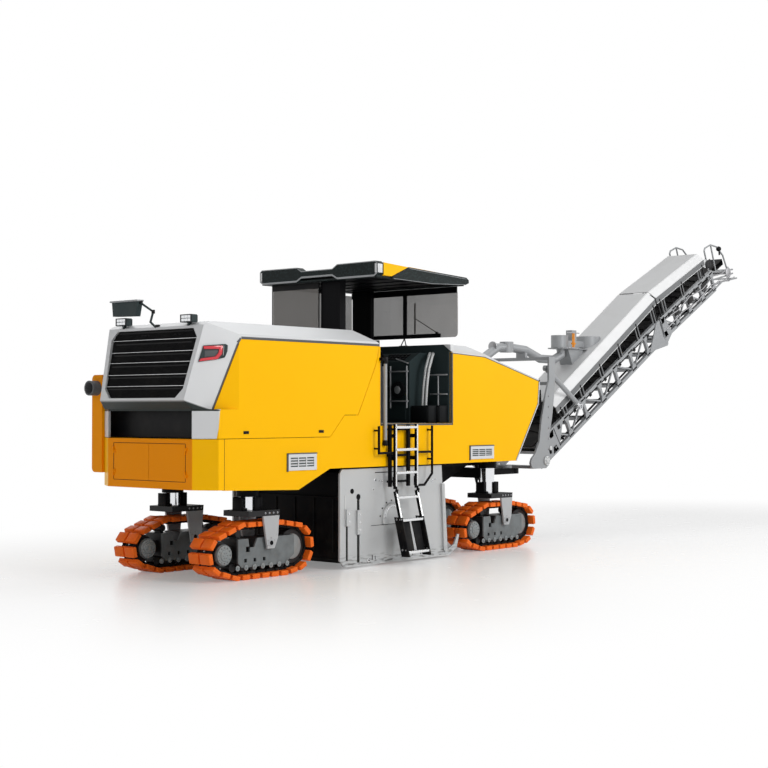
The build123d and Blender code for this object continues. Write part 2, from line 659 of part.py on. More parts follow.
def side_locker():
    """Box on the left side of the machine with the intake stub behind it."""
    side = (SIDE_Y + SEAM, SIDE_Y + SEAM + LOCKER_WIDTH)
    locker = block(LOCKER_X, side, LOCKER_Z)
    locker = fillet(locker.edges().filter_by(Axis.X).group_by(Axis.Y)[-1], LOCKER_ROUND)
    middle = (side[0] + side[1]) / 2
    height, radius = INTAKE
    stub = tube((LOCKER_X[0] - 130, middle, height), (LOCKER_X[0] + 10, middle, height), radius - 5)
    stub -= tube((LOCKER_X[0] - 131, middle, height), (LOCKER_X[0] - 20, middle, height), radius - 25)
    return locker + stub + block((270, 2100), (SIDE_Y, SIDE_Y + SEAM + 1), (1300, 1700))


# ---------------------------------------------------------------- platform and canopy
def platform():
    """Floor, walls and inner partition of the operator's stand, on posts from the main frame."""
    inner = SIDE_Y - WALL
    back = NOTCH[0] + 4
    floor = block((back, NOTCH[1]), (-inner, inner), (FLOOR_Z - WALL, FLOOR_Z))
    rear = block((back, back + 30), (-inner, inner), (FLOOR_Z, SILL_Z))
    front = block((NOTCH[1] - 30, NOTCH[1]), (-inner, inner), (FLOOR_Z, SILL_Z))
    left = block((back + 26, NOTCH[1] - 28), (inner - 30, inner), (FLOOR_Z, SILL_Z))
    partition = block((back + 26, 4250), (PARTITION_Y, PARTITION_Y + 25), (FLOOR_Z, 2790))
    for z in (2140, 2560):
        partition += block((3560, 4200), (PARTITION_Y - 20, PARTITION_Y), (z, z + 35))
    posts = both(block((3300, 3400), BEAM_Y, (BEAM_Z[1], FLOOR_Z - WALL)))
    posts += both(block((4500, 4600), BEAM_Y, (BEAM_Z[1], FLOOR_Z - WALL)))
    x, z = HOOD_HINGE
    ear_y = (HOOD_LUG_Y[0] - 40, HOOD_LUG_Y[0])
    ear = side_slab([(x, z - 27), (back + 16, z - 40), (back + 16, z + 27), (x, z + 27)], ear_y)
    ear += cross_tube(HOOD_HINGE, ear_y, 27)
    ear += block((back, back + 16), ear_y, (SILL_Z - 20, z))
    return floor + rear + front + left + partition + posts + both(ear)


def stand_fittings():
    """Control desk, side console and the operator's seat on its pedestal."""
    desk = [(4250, FLOOR_Z), (4648, FLOOR_Z), (4648, 2890), (4480, 2890), (4250, 2760)]
    fittings = side_slab(desk, (-620, 900))
    fittings += block((4240, 4252), (-560, -120), (FLOOR_Z + 45, 2130))
    fittings += block((3160, 3300), (320, 900), (FLOOR_Z, 2700))
    fittings += block((3500, 3700), (420, 620), (FLOOR_Z, 2350))
    fittings += block((3380, 3860), (290, 750), (2350, 2480))
    return fittings + block((3340, 3440), (300, 740), (2440, 3050))


def canopy_posts():
    """Columns that carry the canopy, and the bars that hold its front screen."""
    roof = ROOF_TOP - ROOF_DEPTH
    posts = block((3170, 3290), (-270, 80), (FLOOR_Z, roof))
    posts += block((NOTCH[1] - 40, NOTCH[1] + 35), FRONT_POST_Y, (SILL_Z, roof))
    screen = (SCREEN_X[1] - 12, SCREEN_X[1] + 10)
    middle = sum(FRONT_POST_Y) / 2
    posts += block((NOTCH[1] + 30, screen[0] + 5), (middle - 30, middle + 30), (SCREEN_Z[1] - 45, SCREEN_Z[1] + 35))
    posts += block(screen, (-70, -10), SCREEN_Z)
    posts += block(screen, (-GLASS_Y, GLASS_Y), (SCREEN_Z[1] - 50, SCREEN_Z[1] + 40))
    return posts + block(screen, (-700, 620), (SCREEN_Z[0], SCREEN_Z[0] + 60))


def roof_line(place):
    """Height of the roof's top at a place ahead."""
    return ROOF_TOP - ROOF_DROP * (place - ROOF_X[0]) / (ROOF_X[1] - ROOF_X[0])


def canopy_roof():
    """Painted skin of the canopy, with the wedges that wrap round its sides."""
    low = ROOF_TOP - ROOF_DEPTH
    rear, front = ROOF_X[0] + ROOF_BAND, ROOF_X[1] - 30
    skin = [
        (rear, low), (rear, roof_line(rear) - 85), (rear + 600, roof_line(rear + 600)), (front - 60, roof_line(front)),
        (front, roof_line(front) - 25), (front, low + 20), (front - 40, low),
    ]
    wedge = [(rear, low), (rear, roof_line(rear) - 10), (3640, roof_line(3640) - 14), (3290, low)]
    return side_slab(skin, (-ROOF_Y + 40, ROOF_Y - 40)) + both(side_slab(wedge, (ROOF_Y - 40, ROOF_Y)))


def canopy_trim():
    """Dark rear band, side mouldings and under-frame of the canopy."""
    low = ROOF_TOP - ROOF_DEPTH
    x = (ROOF_X[0], ROOF_X[0] + ROOF_BAND)
    upper = [
        (ROOF_Y, low + 20), (ROOF_Y, ROOF_TOP - 30), (ROOF_Y - 40, ROOF_TOP), (380, ROOF_TOP - 4),
        (290, ROOF_TOP - 60),
    ]
    under = [(-290, low + 30), (-380, low - 20), (60 - ROOF_Y, low - 20)]
    trim = end_slab(mirrored_end(upper) + [*reversed(under), *[(-y, z) for y, z in under]], x)
    side = [
        (3310, low), (3650, roof_line(3650) - 14), (4950, roof_line(4950) - 6),
        (ROOF_X[1], roof_line(4950) - 40), (ROOF_X[1], low + 20), (4930, low - 10), (4180, low - 45),
        (3310, low - 30),
    ]
    trim += both(side_slab(side, (ROOF_Y - 40, ROOF_Y)))
    trim += block((ROOF_X[1] - 30, ROOF_X[1]), (-ROOF_Y + 30, ROOF_Y - 30), (low + 20, roof_line(4950) - 40))
    under_y = (ROOF_Y - 120, ROOF_Y - 30)
    trim += both(block((x[0] + 20, 4930), under_y, (low - 25, low)))
    for start in (x[0] + 20, 4840):
        trim += block((start, start + 90), (-under_y[1], under_y[1]), (low - 25, low))
    return trim


def glazing():
    """Rear, left and front screens of the stand."""
    roof = ROOF_TOP - ROOF_DEPTH - 25
    rear = block((SCREEN_X[0] - 15, SCREEN_X[0] - 15 + GLASS), (90, GLASS_Y), (SILL_Z, roof))
    left = block((SCREEN_X[0] + 20, SCREEN_X[1] - 230), (GLASS_Y - GLASS, GLASS_Y), (SILL_Z, roof))
    front = block((SCREEN_X[1] + 10, SCREEN_X[1] + 10 + GLASS), (-GLASS_Y, GLASS_Y), SCREEN_Z)
    front = fillet(front.edges().filter_by(Axis.X), 60)
    return rear + left + front


# ---------------------------------------------------------------- milling gear
def drum_housing():
    """Steel box over the milling drum, open below and behind, with the conveyor's mouth in front."""
    outer = block(HOUSING_X, (-HOUSING_Y, HOUSING_Y), HOUSING_Z)
    inside = HOUSING_Y - HOUSING_WALL
    front, top = HOUSING_X[1] - HOUSING_WALL, HOUSING_Z[1] - HOUSING_WALL
    hollow = block((HOUSING_X[0] - 1, front), (-inside, inside), (0, top))
    mouth = block((HOUSING_X[1] - 60, HOUSING_X[1] + 10), (-PRIMARY_Y - 80, PRIMARY_Y + 80), (400, 1150))
    guides = both(block((2650, 2850), (HOUSING_Y, SIDE_PLATE[0]), (900, 1150)))
    guides += both(block((3950, 4150), (HOUSING_Y, SIDE_PLATE[0]), (900, 1150)))
    rear_x = (HOUSING_X[0], HOUSING_X[0] + HOUSING_WALL)
    rear = block(rear_x, (-inside - 5, inside + 5), (SCRAPER_TOP - 40, HOUSING_Z[1]))
    return outer - hollow - mouth + guides + rear


def milling_drum():
    """Drum body with its cutting tools in two screws that meet in the middle."""
    drum = cross_tube(DRUM_AXIS, (-DRUM_Y, DRUM_Y), DRUM_RADIUS)
    shaft_end = HOUSING_Y - HOUSING_WALL - TOUCH
    drum += cross_tube(DRUM_AXIS, (-shaft_end, shaft_end), 90)
    step = 2 * (DRUM_Y - 40) / (TOOL_RINGS - 1)
    reach = TOOL_REACH - DRUM_RADIUS
    tools = []
    for ring in range(TOOL_RINGS):
        y = -DRUM_Y + 40 + ring * step
        for turn in range(TOOLS_IN_RING):
            angle = 360 * turn / TOOLS_IN_RING + abs(y) / DRUM_Y * TOOL_SCREW
            tool = Pos(DRUM_RADIUS + reach / 2 - 6, 0, 0) * Rot(0, -35, 0) * Box(reach, 34, 40)
            tools.append(Pos(ahead(DRUM_AXIS[0]), y, DRUM_AXIS[1]) * Rot(0, angle, 0) * tool)
    return drum + tools


def side_plate(side):
    """Height-adjustable side plate with its skid, slots, guide post and drum end cover."""
    faces = sorted((side * SIDE_PLATE[0], side * SIDE_PLATE[1]))
    outline = [
        (2360, 120), (2450, SIDE_PLATE_FOOT), (4680, SIDE_PLATE_FOOT), (4850, 120), (4905, 300), (4870, 310),
        (4790, 170), (4640, 110), (4560, 420), (4500, SIDE_PLATE_TOP), (2400, SIDE_PLATE_TOP), (2360, 1240),
    ]
    plate = side_slab(outline, faces)
    through = (faces[0] - 5, faces[1] + 5)
    for x, z in (((2700, 2750), (70, 900)), ((2480, 2520), (110, 700))):
        plate -= block(x, through, z)
    plate -= cross_tube((2600, 1010), through, 26)
    outer = sorted((side * SIDE_PLATE[1], side * (SIDE_PLATE[1] + 30)))
    beyond = sorted((side * SIDE_PLATE[1], side * (SIDE_PLATE[1] + 40)))
    plate += cross_tube(DRUM_AXIS, outer, 205) - block((3100, 3700), beyond, (300, 545))
    plate += block((2465, 2560), outer, (560, 780)) + block((2680, 2770), outer, (440, 760))
    strip = sorted((side * SIDE_PLATE[1], side * (SIDE_PLATE[1] + 12)))
    plate += block((2450, 4700), strip, (SIDE_PLATE_FOOT, 60))
    return plate + side_slab([(4470, 1040), (4530, 1040), (4600, 110), (4560, 75), (4520, 110)], outer)


def scraper():
    """Scraper blade behind the drum."""
    return block((HOUSING_X[0] - 40, HOUSING_X[0]), (-HOUSING_Y, HOUSING_Y), (60, SCRAPER_TOP))


# ---------------------------------------------------------------- conveyors
def primary_conveyor():
    """Housed belt from the drum to the machine's front."""
    rise = atan2(PRIMARY_HEAD[1] - PRIMARY_TAIL[1], PRIMARY_HEAD[0] - PRIMARY_TAIL[0])
    length = hypot(PRIMARY_HEAD[0] - PRIMARY_TAIL[0], PRIMARY_HEAD[1] - PRIMARY_TAIL[1])
    housing = Pos(length / 2, 0, 0) * Box(length, 2 * PRIMARY_Y, PRIMARY_DEPTH)
    housing = Pos(ahead(PRIMARY_TAIL[0]), 0, PRIMARY_TAIL[1]) * Rot(0, -degrees(rise), 0) * housing
    hanger = block((5170, 5230), (-200, 200), (1150, 1420))
    strut = block((6080, 6160), (-150, 150), (1200, 1450))
    return housing + hanger + strut


def conveyor_bracket():
    """Fixed arms that carry the slewing conveyor: the foot ring below and the head ring above."""
    foot = block((FRAME_END, SLEW_X), (-180, 180), (FOOT_RING_Z - 90, FOOT_RING_Z))
    foot += tube((SLEW_X, 0, FOOT_RING_Z - 90), (SLEW_X, 0, FOOT_RING_Z), 190)
    pad = [(6847, 2345), (6859, 2480), (6890, 2480), (6890, 2345)]
    arm = side_slab(pad, (-300, 300)) + block((6880, SLEW_X), (-110, 110), (HEAD_RING_Z - 80, HEAD_RING_Z))
    return foot + arm + tube((SLEW_X, 0, HEAD_RING_Z - 80), (SLEW_X, 0, HEAD_RING_Z), 130)


def slew_mast():
    """Slewing frame: foot plate, two bowed uprights with the lift pins, and the head over the upper ring."""
    plate_z = (FOOT_RING_Z, FOOT_RING_Z + 45)
    foot = block((SLEW_X - 90, SLEW_X + 160), (-MAST_Y[1], MAST_Y[1]), plate_z)
    foot += tube((SLEW_X, 0, plate_z[0]), (SLEW_X, 0, plate_z[1]), 190)
    outline = [
        (-90, FOOT_RING_Z), (250, FOOT_RING_Z), (330, 1200), (345, 1300), (330, 1600), (420, 1950),
        (480, 2300), (505, 2560), (510, 2930), (340, 2930), (335, 2560), (235, 2300), (120, 1900),
        (60, 1560), (-60, 1380), (-150, 1310), (-180, 1240), (-150, 1180),
    ]
    upright = side_slab([(SLEW_X + a, z) for a, z in outline], MAST_Y)
    head = block((SLEW_X + 330, SLEW_X + 500), (-MAST_Y[1], MAST_Y[1]), (HEAD_RING_Z, HEAD_RING_Z + 50))
    head += block((SLEW_X, SLEW_X + 360), (-150, 150), (HEAD_RING_Z, HEAD_RING_Z + 50))
    head += tube((SLEW_X, 0, HEAD_RING_Z), (SLEW_X, 0, HEAD_RING_Z + 50), 140)
    head += block((SLEW_X + 370, SLEW_X + 480), (-MAST_Y[1], MAST_Y[1]), (2880, 2930))
    pins = both(cross_tube(LIFT_PIVOT, (TRUSS_Y, MAST_Y[0] + 5), 40))
    pins += both(cross_tube(CYLINDER_TOP, (CYLINDER_Y - 38, MAST_Y[0] + 5), CYLINDER_PIN))
    return foot + both(upright) + head + pins


def eye_place():
    """Place ahead and height of the lift cylinders' lower pins at rest."""
    turn = radians(DISCHARGE_ANGLE)
    along, up = CYLINDER_EYE
    return (
        DISCHARGE_FOOT[0] + along * cos(turn) - up * sin(turn),
        DISCHARGE_FOOT[1] + along * sin(turn) + up * cos(turn),
    )


def cylinder_line():
    """Unit direction, ahead and up, from the upper pin to the lower one, and their distance at rest."""
    eye = eye_place()
    run, rise = eye[0] - CYLINDER_TOP[0], eye[1] - CYLINDER_TOP[1]
    length = hypot(run, rise)
    return (run / length, rise / length), length


def on_cylinder(distance, side):
    """Place so far down a lift cylinder from its upper pin."""
    (run, rise), _ = cylinder_line()
    return (CYLINDER_TOP[0] + run * distance, side * CYLINDER_Y, CYLINDER_TOP[1] + rise * distance)


def lift_barrel(side):
    """Barrel of one lift cylinder, hung on the mast's upper pin."""
    ends = sorted((side * (CYLINDER_Y - 34), side * (CYLINDER_Y + 34)))
    barrel = tube(on_cylinder(0, side), on_cylinder(CYLINDER_LENGTH, side), CYLINDER_RADIUS)
    barrel += cross_tube(CYLINDER_TOP, ends, 46)
    barrel -= tube(on_cylinder(90, side), on_cylinder(CYLINDER_LENGTH + 1, side), CYLINDER_BORE)
    barrel += tube(on_cylinder(CYLINDER_LENGTH - 40, side), on_cylinder(CYLINDER_LENGTH, side), CYLINDER_RADIUS)
    barrel -= tube(on_cylinder(90, side), on_cylinder(CYLINDER_LENGTH + 1, side), CYLINDER_ROD + TOUCH)
    return barrel - cross_tube(CYLINDER_TOP, (ends[0] - 20, ends[1] + 20), CYLINDER_PIN + TOUCH)


def lift_rod(side):
    """Rod of one lift cylinder with its eye on the discharge truss's pin."""
    _, length = cylinder_line()
    eye = eye_place()
    ends = sorted((side * (CYLINDER_Y - 30), side * (CYLINDER_Y + 30)))
    piston = length - CYLINDER_REACH
    rod = tube(on_cylinder(piston, side), on_cylinder(length, side), CYLINDER_ROD)
    rod += tube(on_cylinder(piston - 20, side), on_cylinder(piston, side), CYLINDER_BORE - TOUCH)
    rod += cross_tube(eye, ends, CYLINDER_PIN + EYE_PLAY + 18)
    return rod - cross_tube(eye, (ends[0] - 1, ends[1] + 1), CYLINDER_PIN + EYE_PLAY)


def on_slope(origin, angle, shape):
    """Lay a shape drawn along a level chord onto the sloping chord that starts at an origin."""
    return Pos(ahead(origin[0]), 0, origin[1]) * Rot(0, -angle, 0) * shape


def local_box(along, y, up):
    """Box between pairs of limits in a conveyor's own frame."""
    size = [high - low for low, high in (along, y, up)]
    return Pos(*[sum(pair) / 2 for pair in (along, y, up)]) * Box(*size)


def truss(start, end, bays, depth):
    """Two side trusses of posts and diagonals with cross ties, drawn along a level lower chord."""
    half = CHORD / 2
    y = (TRUSS_Y - CHORD, TRUSS_Y)
    side = local_box((start, end), y, (0, CHORD)) + local_box((start, end), y, (depth - CHORD, depth))
    step = (end - start) / bays
    places = [min(max(start + bay * step, start + half), end - half) for bay in range(bays + 1)]
    for at in places:
        side += local_box((at - half, at + half), (TRUSS_Y - CHORD + 5, TRUSS_Y - 5), (half, depth - half))
    for bay in range(bays):
        ends = places[bay:bay + 2] if bay % 2 else places[bay:bay + 2][::-1]
        middle = TRUSS_Y - half
        flat = (middle - DIAGONAL / 2, middle + DIAGONAL / 2)
        side += local_bar((ends[0], half), (ends[1], depth - half), flat)
    frame = side + mirror(side, about=Plane.XZ)
    for at in places:
        frame += local_box((at - half, at + half), (-TRUSS_Y + half, TRUSS_Y - half), (0, CHORD))
    for at in places[1::2]:
        seat = (at, BELT_RETURN - RETURN_IDLER - TOUCH)
        frame += local_boss(seat, (-TRUSS_Y + half, TRUSS_Y - half), RETURN_IDLER)
    return frame


def local_bar(start, end, y):
    """Flat bar between two (along, up) places in a conveyor's own frame."""
    run, rise = end[0] - start[0], end[1] - start[1]
    reach = DIAGONAL / 2 / hypot(run, rise)
    side = (-rise * reach, run * reach)
    order = ((1, start), (1, end), (-1, end), (-1, start))
    return local_slab([(p[0] + sign * side[0], p[1] + sign * side[1]) for sign, p in order], y)


def cover_section(at, rise, inset):
    """Section of a cover's outer or inner form, flat on top with sloping shoulders."""
    side, flat, top = COVER_Y - inset, COVER_FLAT_Y - inset / 2, rise - inset
    foot = rise - COVER_DEPTH - inset
    half = [(side, foot), (side, rise - COVER_SLOPE - inset / 2), (flat, top)]
    return make_face(Polyline(*[(at, y, z) for y, z in mirrored_end(half)], close=True))


def cover(start, end, rise_start, rise_end):
    """Sheet cover over a run of belt, open below and at its ends, drawn along a level lower chord."""
    slope = (rise_end - rise_start) / (end - start)
    outer = loft([cover_section(start, rise_start, 0), cover_section(end, rise_end, 0)], ruled=True)
    ends = [cover_section(start - 5, rise_start - 5 * slope, COVER_SHEET),
            cover_section(end + 5, rise_end + 5 * slope, COVER_SHEET)]
    return outer - loft(ends, ruled=True)


def both_local(shape):
    """A shape and its mirror image in a conveyor's own frame."""
    return shape + mirror(shape, about=Plane.XZ)


def straps(places, depth, rise):
    """Pairs of bars that hold a cover over its truss."""
    bars = None
    for place in places:
        for at in (place - 45, place + 45):
            bar = local_box((at - 14, at + 14), (COVER_Y - 30, COVER_Y - COVER_SHEET), (depth, rise(at) - 150))
            bars = both_local(bar) if bars is None else bars + both_local(bar)
    return bars


def local_slab(points, y):
    """Outline of (along, up) points in a conveyor's own frame, pushed across."""
    face = make_face(Polyline(*[(a, y[0], z) for a, z in points], close=True))
    return extrude(face, amount=y[1] - y[0], dir=(0, 1, 0))


def local_boss(place, y, radius):
    """Round boss across a conveyor at an (along, up) place in its own frame."""
    return extrude(Plane((place[0], y[0], place[1]), z_dir=(0, 1, 0)) * Circle(radius), amount=y[1] - y[0])


def discharge_frame():
    """Truss of the lower discharge section with its solid foot cheeks, cylinder pins and fold plates."""
    frame = truss(450, DISCHARGE_LENGTH - 40, 7, TRUSS_DEPTH)
    turn = radians(DISCHARGE_ANGLE)
    dx = LIFT_PIVOT[0] - DISCHARGE_FOOT[0]
    dz = LIFT_PIVOT[1] - DISCHARGE_FOOT[1]
    pivot = (dx * cos(turn) + dz * sin(turn), dz * cos(turn) - dx * sin(turn))
    cheek_y = (TRUSS_Y - 20, TRUSS_Y)
    outline = [
        (0, 0), (480, 0), (480, CHORD), (620, CHORD), (900, TRUSS_DEPTH - CHORD), (900, TRUSS_DEPTH - 10),
        (480, TRUSS_DEPTH), (100, TRUSS_DEPTH), (pivot[0], pivot[1] + 85),
    ]
    cheek = local_slab(outline, cheek_y) + local_boss(pivot, cheek_y, 88)
    cheek += local_boss(CYLINDER_EYE, (TRUSS_Y - CHORD, CYLINDER_Y + 32), CYLINDER_PIN)
    end = DISCHARGE_LENGTH
    fold_y = (TRUSS_Y, TRUSS_Y + FOLD_PLATE)
    outline = [
        (end - 620, CHORD), (end - 420, 10), (end - 20, -FOLD_DROP - 50), (end, -FOLD_DROP), (end - 45, CHORD),
        (end - 60, TRUSS_DEPTH - 10), (end - 160, TRUSS_DEPTH - 10),
    ]
    fold = local_slab(outline, fold_y) + local_boss((end, -FOLD_DROP), fold_y, 55)
    return on_slope(DISCHARGE_FOOT, DISCHARGE_ANGLE, frame + both_local(cheek + fold))


def discharge_rise(at):
    """Height of the lower cover's top over the lower chord."""
    foot, fold, _ = COVER_RISE
    return foot + (fold - foot) * (at - COVER_START) / (COVER_JOIN - COVER_START)


def discharge_cover():
    """Cover of the lower discharge section with its straps."""
    sheet = cover(COVER_START, COVER_JOIN, COVER_RISE[0], COVER_RISE[1])
    bars = straps((1050, 1650, 2350, 3050, 3750, 4380), TRUSS_DEPTH, discharge_rise)
    return on_slope(DISCHARGE_FOOT, DISCHARGE_ANGLE, sheet + bars)


def discharge_belt():
    """Carrying and returning runs of the belt in the lower section."""
    half = TRUSS_Y - CHORD
    end = DISCHARGE_LENGTH - 20
    run = local_box((0, end), (-half, half), (TRUSS_DEPTH - 30, TRUSS_DEPTH - 30 + BELT_SHEET))
    run += local_box((40, end), (-half, half), (BELT_RETURN, BELT_RETURN + BELT_SHEET))
    return on_slope(DISCHARGE_FOOT, DISCHARGE_ANGLE, run)


def head_origin():
    """Where the head section's lower chord starts."""
    turn = radians(DISCHARGE_ANGLE)
    reach = DISCHARGE_LENGTH
    return (DISCHARGE_FOOT[0] + reach * cos(turn), DISCHARGE_FOOT[1] + reach * sin(turn))


def guard_bars(lines, y):
    """Round bars through tables of (along, up) places, at one side of the head."""
    bars = None
    for line in lines:
        bar = bent_bar([(along, y, up) for along, up in line], GUARD_RADIUS)
        bars = bar if bars is None else bars + bar
    return bars


def head_frame():
    """Truss of the folding head section with its fold lugs, drum guards and side hoops."""
    frame = truss(30, HEAD_LENGTH, 4, TRUSS_DEPTH)
    middle = TRUSS_Y - CHORD / 2
    top = TRUSS_DEPTH - CHORD / 2
    guards = (
        [(HEAD_LENGTH - 40, top), (3100, 80)],
        [(HEAD_LENGTH - 60, 240), (2700, 100), (3070, 10)],
        [(HEAD_LENGTH - 60, 130), (2590, 40), HEAD_TIP],
        [(HEAD_LENGTH - 40, CHORD / 2), (2590, 40)],
    )
    hoops = (
        [(2170, top), (2190, 850), (2240, 885), (2480, 855), (2700, 720), (2850, 480), (2890, 165)],
        [(2440, top - 90), (2480, 855)],
    )
    frame += both_local(guard_bars(guards + hoops, middle))
    for along, up in (HEAD_TIP, (3100, 80)):
        frame += local_boss((along, up), (-middle, middle), GUARD_RADIUS - 2)
    slope = radians(DISCHARGE_ANGLE - HEAD_ANGLE)
    axis = (FOLD_DROP * sin(slope), -FOLD_DROP * cos(slope))
    lug_y = (TRUSS_Y - FOLD_PLATE, TRUSS_Y)
    outline = [
        (axis[0] - 50, axis[1]), (axis[0], axis[1] - 50), (300, 5), (300, CHORD - 5), (140, TRUSS_DEPTH - 10),
        (35, TRUSS_DEPTH - 10), (35, CHORD - 5),
    ]
    lug = local_slab(outline, lug_y) + local_boss(axis, lug_y, 50)
    return on_slope(head_origin(), HEAD_ANGLE, frame + both_local(lug))


def head_rise(at):
    """Height of the head cover's top over the lower chord."""
    _, fold, end = COVER_RISE
    return fold + (end - fold) * at / COVER_END


def head_cover():
    """Cover of the head section with its straps."""
    sheet = cover(10, COVER_END, COVER_RISE[1], COVER_RISE[2])
    bars = straps((250, 1000, 1750), TRUSS_DEPTH, head_rise)
    return on_slope(head_origin(), HEAD_ANGLE, sheet + bars)


def head_belt():
    """Carrying and returning runs of the belt in the head section, round its drum."""
    half = TRUSS_Y - CHORD
    end = HEAD_LENGTH + 600
    run = local_box((10, end), (-half, half), (TRUSS_DEPTH - 30, TRUSS_DEPTH - 30 + BELT_SHEET))
    run += local_box((10, end), (-half, half), (BELT_RETURN, BELT_RETURN + BELT_SHEET))
    run += local_box((end - BELT_SHEET, end), (-half, half), (BELT_RETURN, TRUSS_DEPTH - 20))
    return on_slope(head_origin(), HEAD_ANGLE, run)


# ---------------------------------------------------------------- dust suction
def suction_pipe():
    """Pipe over the front body that ends in the swivel ball over the slewing axis."""
    route = [(NOSE[0] - 400, 2650), (NOSE[0] - 10, 2905), (NOSE[0] + 330, 3070), (SLEW_X, SWIVEL_Z)]
    pipe = bent_pipe(route)
    ball = swivel(0)
    saddle = block((NOSE[0] - 60, NOSE[0] - 20), (-110, 110), (2500, 2840))
    under = [(5614, 2900), NOSE, (NOSE[0], 2300), (5614, 2300)]
    return pipe + ball + saddle - side_slab(under, (-300, 300))


def bent_pipe(route):
    """Round pipe through a table of (ahead, height) places on the middle plane."""
    return bent_bar([(ahead(place), 0, height) for place, height in route], PIPE_RADIUS)


def swivel(gap):
    """Drum over the slewing axis in which the two pipes meet, grown by a gap."""
    half = SWIVEL_DEPTH / 2 + gap
    return tube((SLEW_X, 0, SWIVEL_Z - half), (SLEW_X, 0, SWIVEL_Z + half), SWIVEL_RADIUS + gap)


def suction_hose():
    """Pipe on the mast from the swivel to the conveyor's pivot line, where the fan's inlet meets it."""
    route = [(SLEW_X, SWIVEL_Z), (8000, 3060), (8430, 2930), (HOSE_END, 2926)]
    hose = bent_pipe(route) - swivel(SWIVEL_GAP)
    return hose + block((SLEW_X + 395, SLEW_X + 455), (-90, 90), (2930, 3010))


def suction_fan():
    """Fan on the lower cover: motor, scroll and outlet on a dark deck with its bracket."""
    deck = block((8890, 10010), (-150, 150), (FAN_DECK_Z, FAN_DECK_Z + 20))
    fan = deck + tube((9020, 0, FAN_DECK_Z + 20), (9020, 0, FAN_DECK_Z + 230), 145)
    fan += bent_pipe([(HOSE_END + 12, 2926), (8830, 2925), (9060, 3010), (9060, FAN_DECK_Z + 5)])
    fan += tube((9900, 0, FAN_DECK_Z + 20), (9900, 0, FAN_DECK_Z + 240), 220)
    fan += block((9310, 9450), (-60, 60), (FAN_DECK_Z + 10, 3440))
    fan += block((9130, 9700), (-60, 60), (FAN_DECK_Z + 40, FAN_DECK_Z + 150))
    leg = [(9100, FAN_DECK_Z), (9560, FAN_DECK_Z), (9500, 2700), (9300, 2700)]
    fan += side_slab(leg, (-120, 120))
    under = [(8500, cover_height(8500)), (10500, cover_height(10500)), (10500, 1500), (8500, 1500)]
    return fan - side_slab(under, (-500, 500))


def cover_height(place):
    """Height of the lower cover's top at a place ahead."""
    turn = radians(DISCHARGE_ANGLE)
    foot, fold, _ = COVER_RISE
    slope = (fold - foot) / (COVER_JOIN - COVER_START)
    base = foot - slope * COVER_START
    along = (place - DISCHARGE_FOOT[0] + base * sin(turn)) / (cos(turn) - slope * sin(turn))
    return DISCHARGE_FOOT[1] + along * sin(turn) + (base + slope * along) * cos(turn)


# ---------------------------------------------------------------- access
def ladder(top, foot, y_top, y_foot, rungs, rail_x):
    """Two rails and their rungs between two heights."""
    parts = None
    for x in rail_x:
        rail = beam((x, y_top, top), (x, y_foot, foot), 40, 30)
        parts = rail if parts is None else parts + rail
    for z in rungs:
        y = y_top + (y_foot - y_top) * (top - z) / (top - foot)
        parts += block((rail_x[0], rail_x[1]), (y - 30, y + 20), (z - 15, z + 15))
    return parts


def upper_ladder():
    """Fixed part of the ladder on brackets from the side panel, with its hand rails."""
    steps = ladder(FLOOR_Z - 5, LADDER_SPLIT + 15, LADDER_Y, LADDER_Y, (1840, 1540, 1230), LADDER_X)
    for x in LADDER_X:
        for z in (1425, 1725):
            steps += block((x - 15, x + 15), (LADDER_Y, -SIDE_Y), (z - 25, z + 25))
        steps += ladder_knuckle(x - 20, x, 35)
    rail = LADDER_Y + 20
    rails = (
        [(2990, 1860), (2990, 1500), (LADDER_X[0], 1500)],
        [(4120, 1860), (4120, 1200), (3950, 1050), (LADDER_X[1], 1050)],
        [(4120, 1500), (LADDER_X[1], 1500)],
    )
    for line in rails:
        steps += bent_bar([(ahead(place), rail, height) for place, height in line], RAIL_RADIUS)
    for x, z in ((2990, 1800), (2990, 1560), (4120, 1800), (4120, 1400)):
        steps += block((x - 12, x + 12), (rail, -SIDE_Y), (z - 12, z + 12))
    steps += tube((3180, -SIDE_Y - 30, 1600), (3180, -SIDE_Y - 30, 2780), RAIL_RADIUS + 4)
    for x, z in (((3150, 3210), 1620), ((3090, 3200), 2750)):
        steps += block(x, (-SIDE_Y - 55, -SIDE_Y), (z - 20, z + 20))
    return steps


def ladder_knuckle(start, end, rise):
    """Hinge knuckle on the outer face of a rail, with a leaf on the rail above or below the split."""
    low, high = sorted((LADDER_SPLIT + rise / 2, LADDER_SPLIT + rise * 1.4))
    barrel = tube((start, LADDER_HINGE_Y, LADDER_SPLIT), (end, LADDER_HINGE_Y, LADDER_SPLIT), 13)
    leaf = block((start, end), (LADDER_HINGE_Y - 8, LADDER_Y), (low, high))
    shank = sorted((LADDER_SPLIT, LADDER_SPLIT + rise))
    return barrel + leaf + block((start, end), (LADDER_HINGE_Y - 8, LADDER_HINGE_Y + 8), shank)


def lower_ladder():
    """Folding part of the ladder, leaning out at its foot, with flexible step hangers below."""
    top = LADDER_SPLIT - 15
    foot_z, foot_y = LADDER_FOOT
    steps = ladder(top, foot_z, LADDER_Y, foot_y, (900, 600, 180), LADDER_X)
    slope = (foot_y - LADDER_Y) / (top - foot_z)
    flare = [(z, LADDER_Y + slope * (top - z)) for z in (640, foot_z - 10)]
    for x in LADDER_X:
        steps += ladder_knuckle(x, x + 20, -35)
        outline = [(flare[0][1] - 35, flare[0][0]), (flare[0][1] + 95, flare[0][0]),
                   (flare[1][1] + 95, flare[1][0]), (flare[1][1] - 35, flare[1][0])]
        steps += end_slab(outline, (x - 12, x + 12))
    return steps


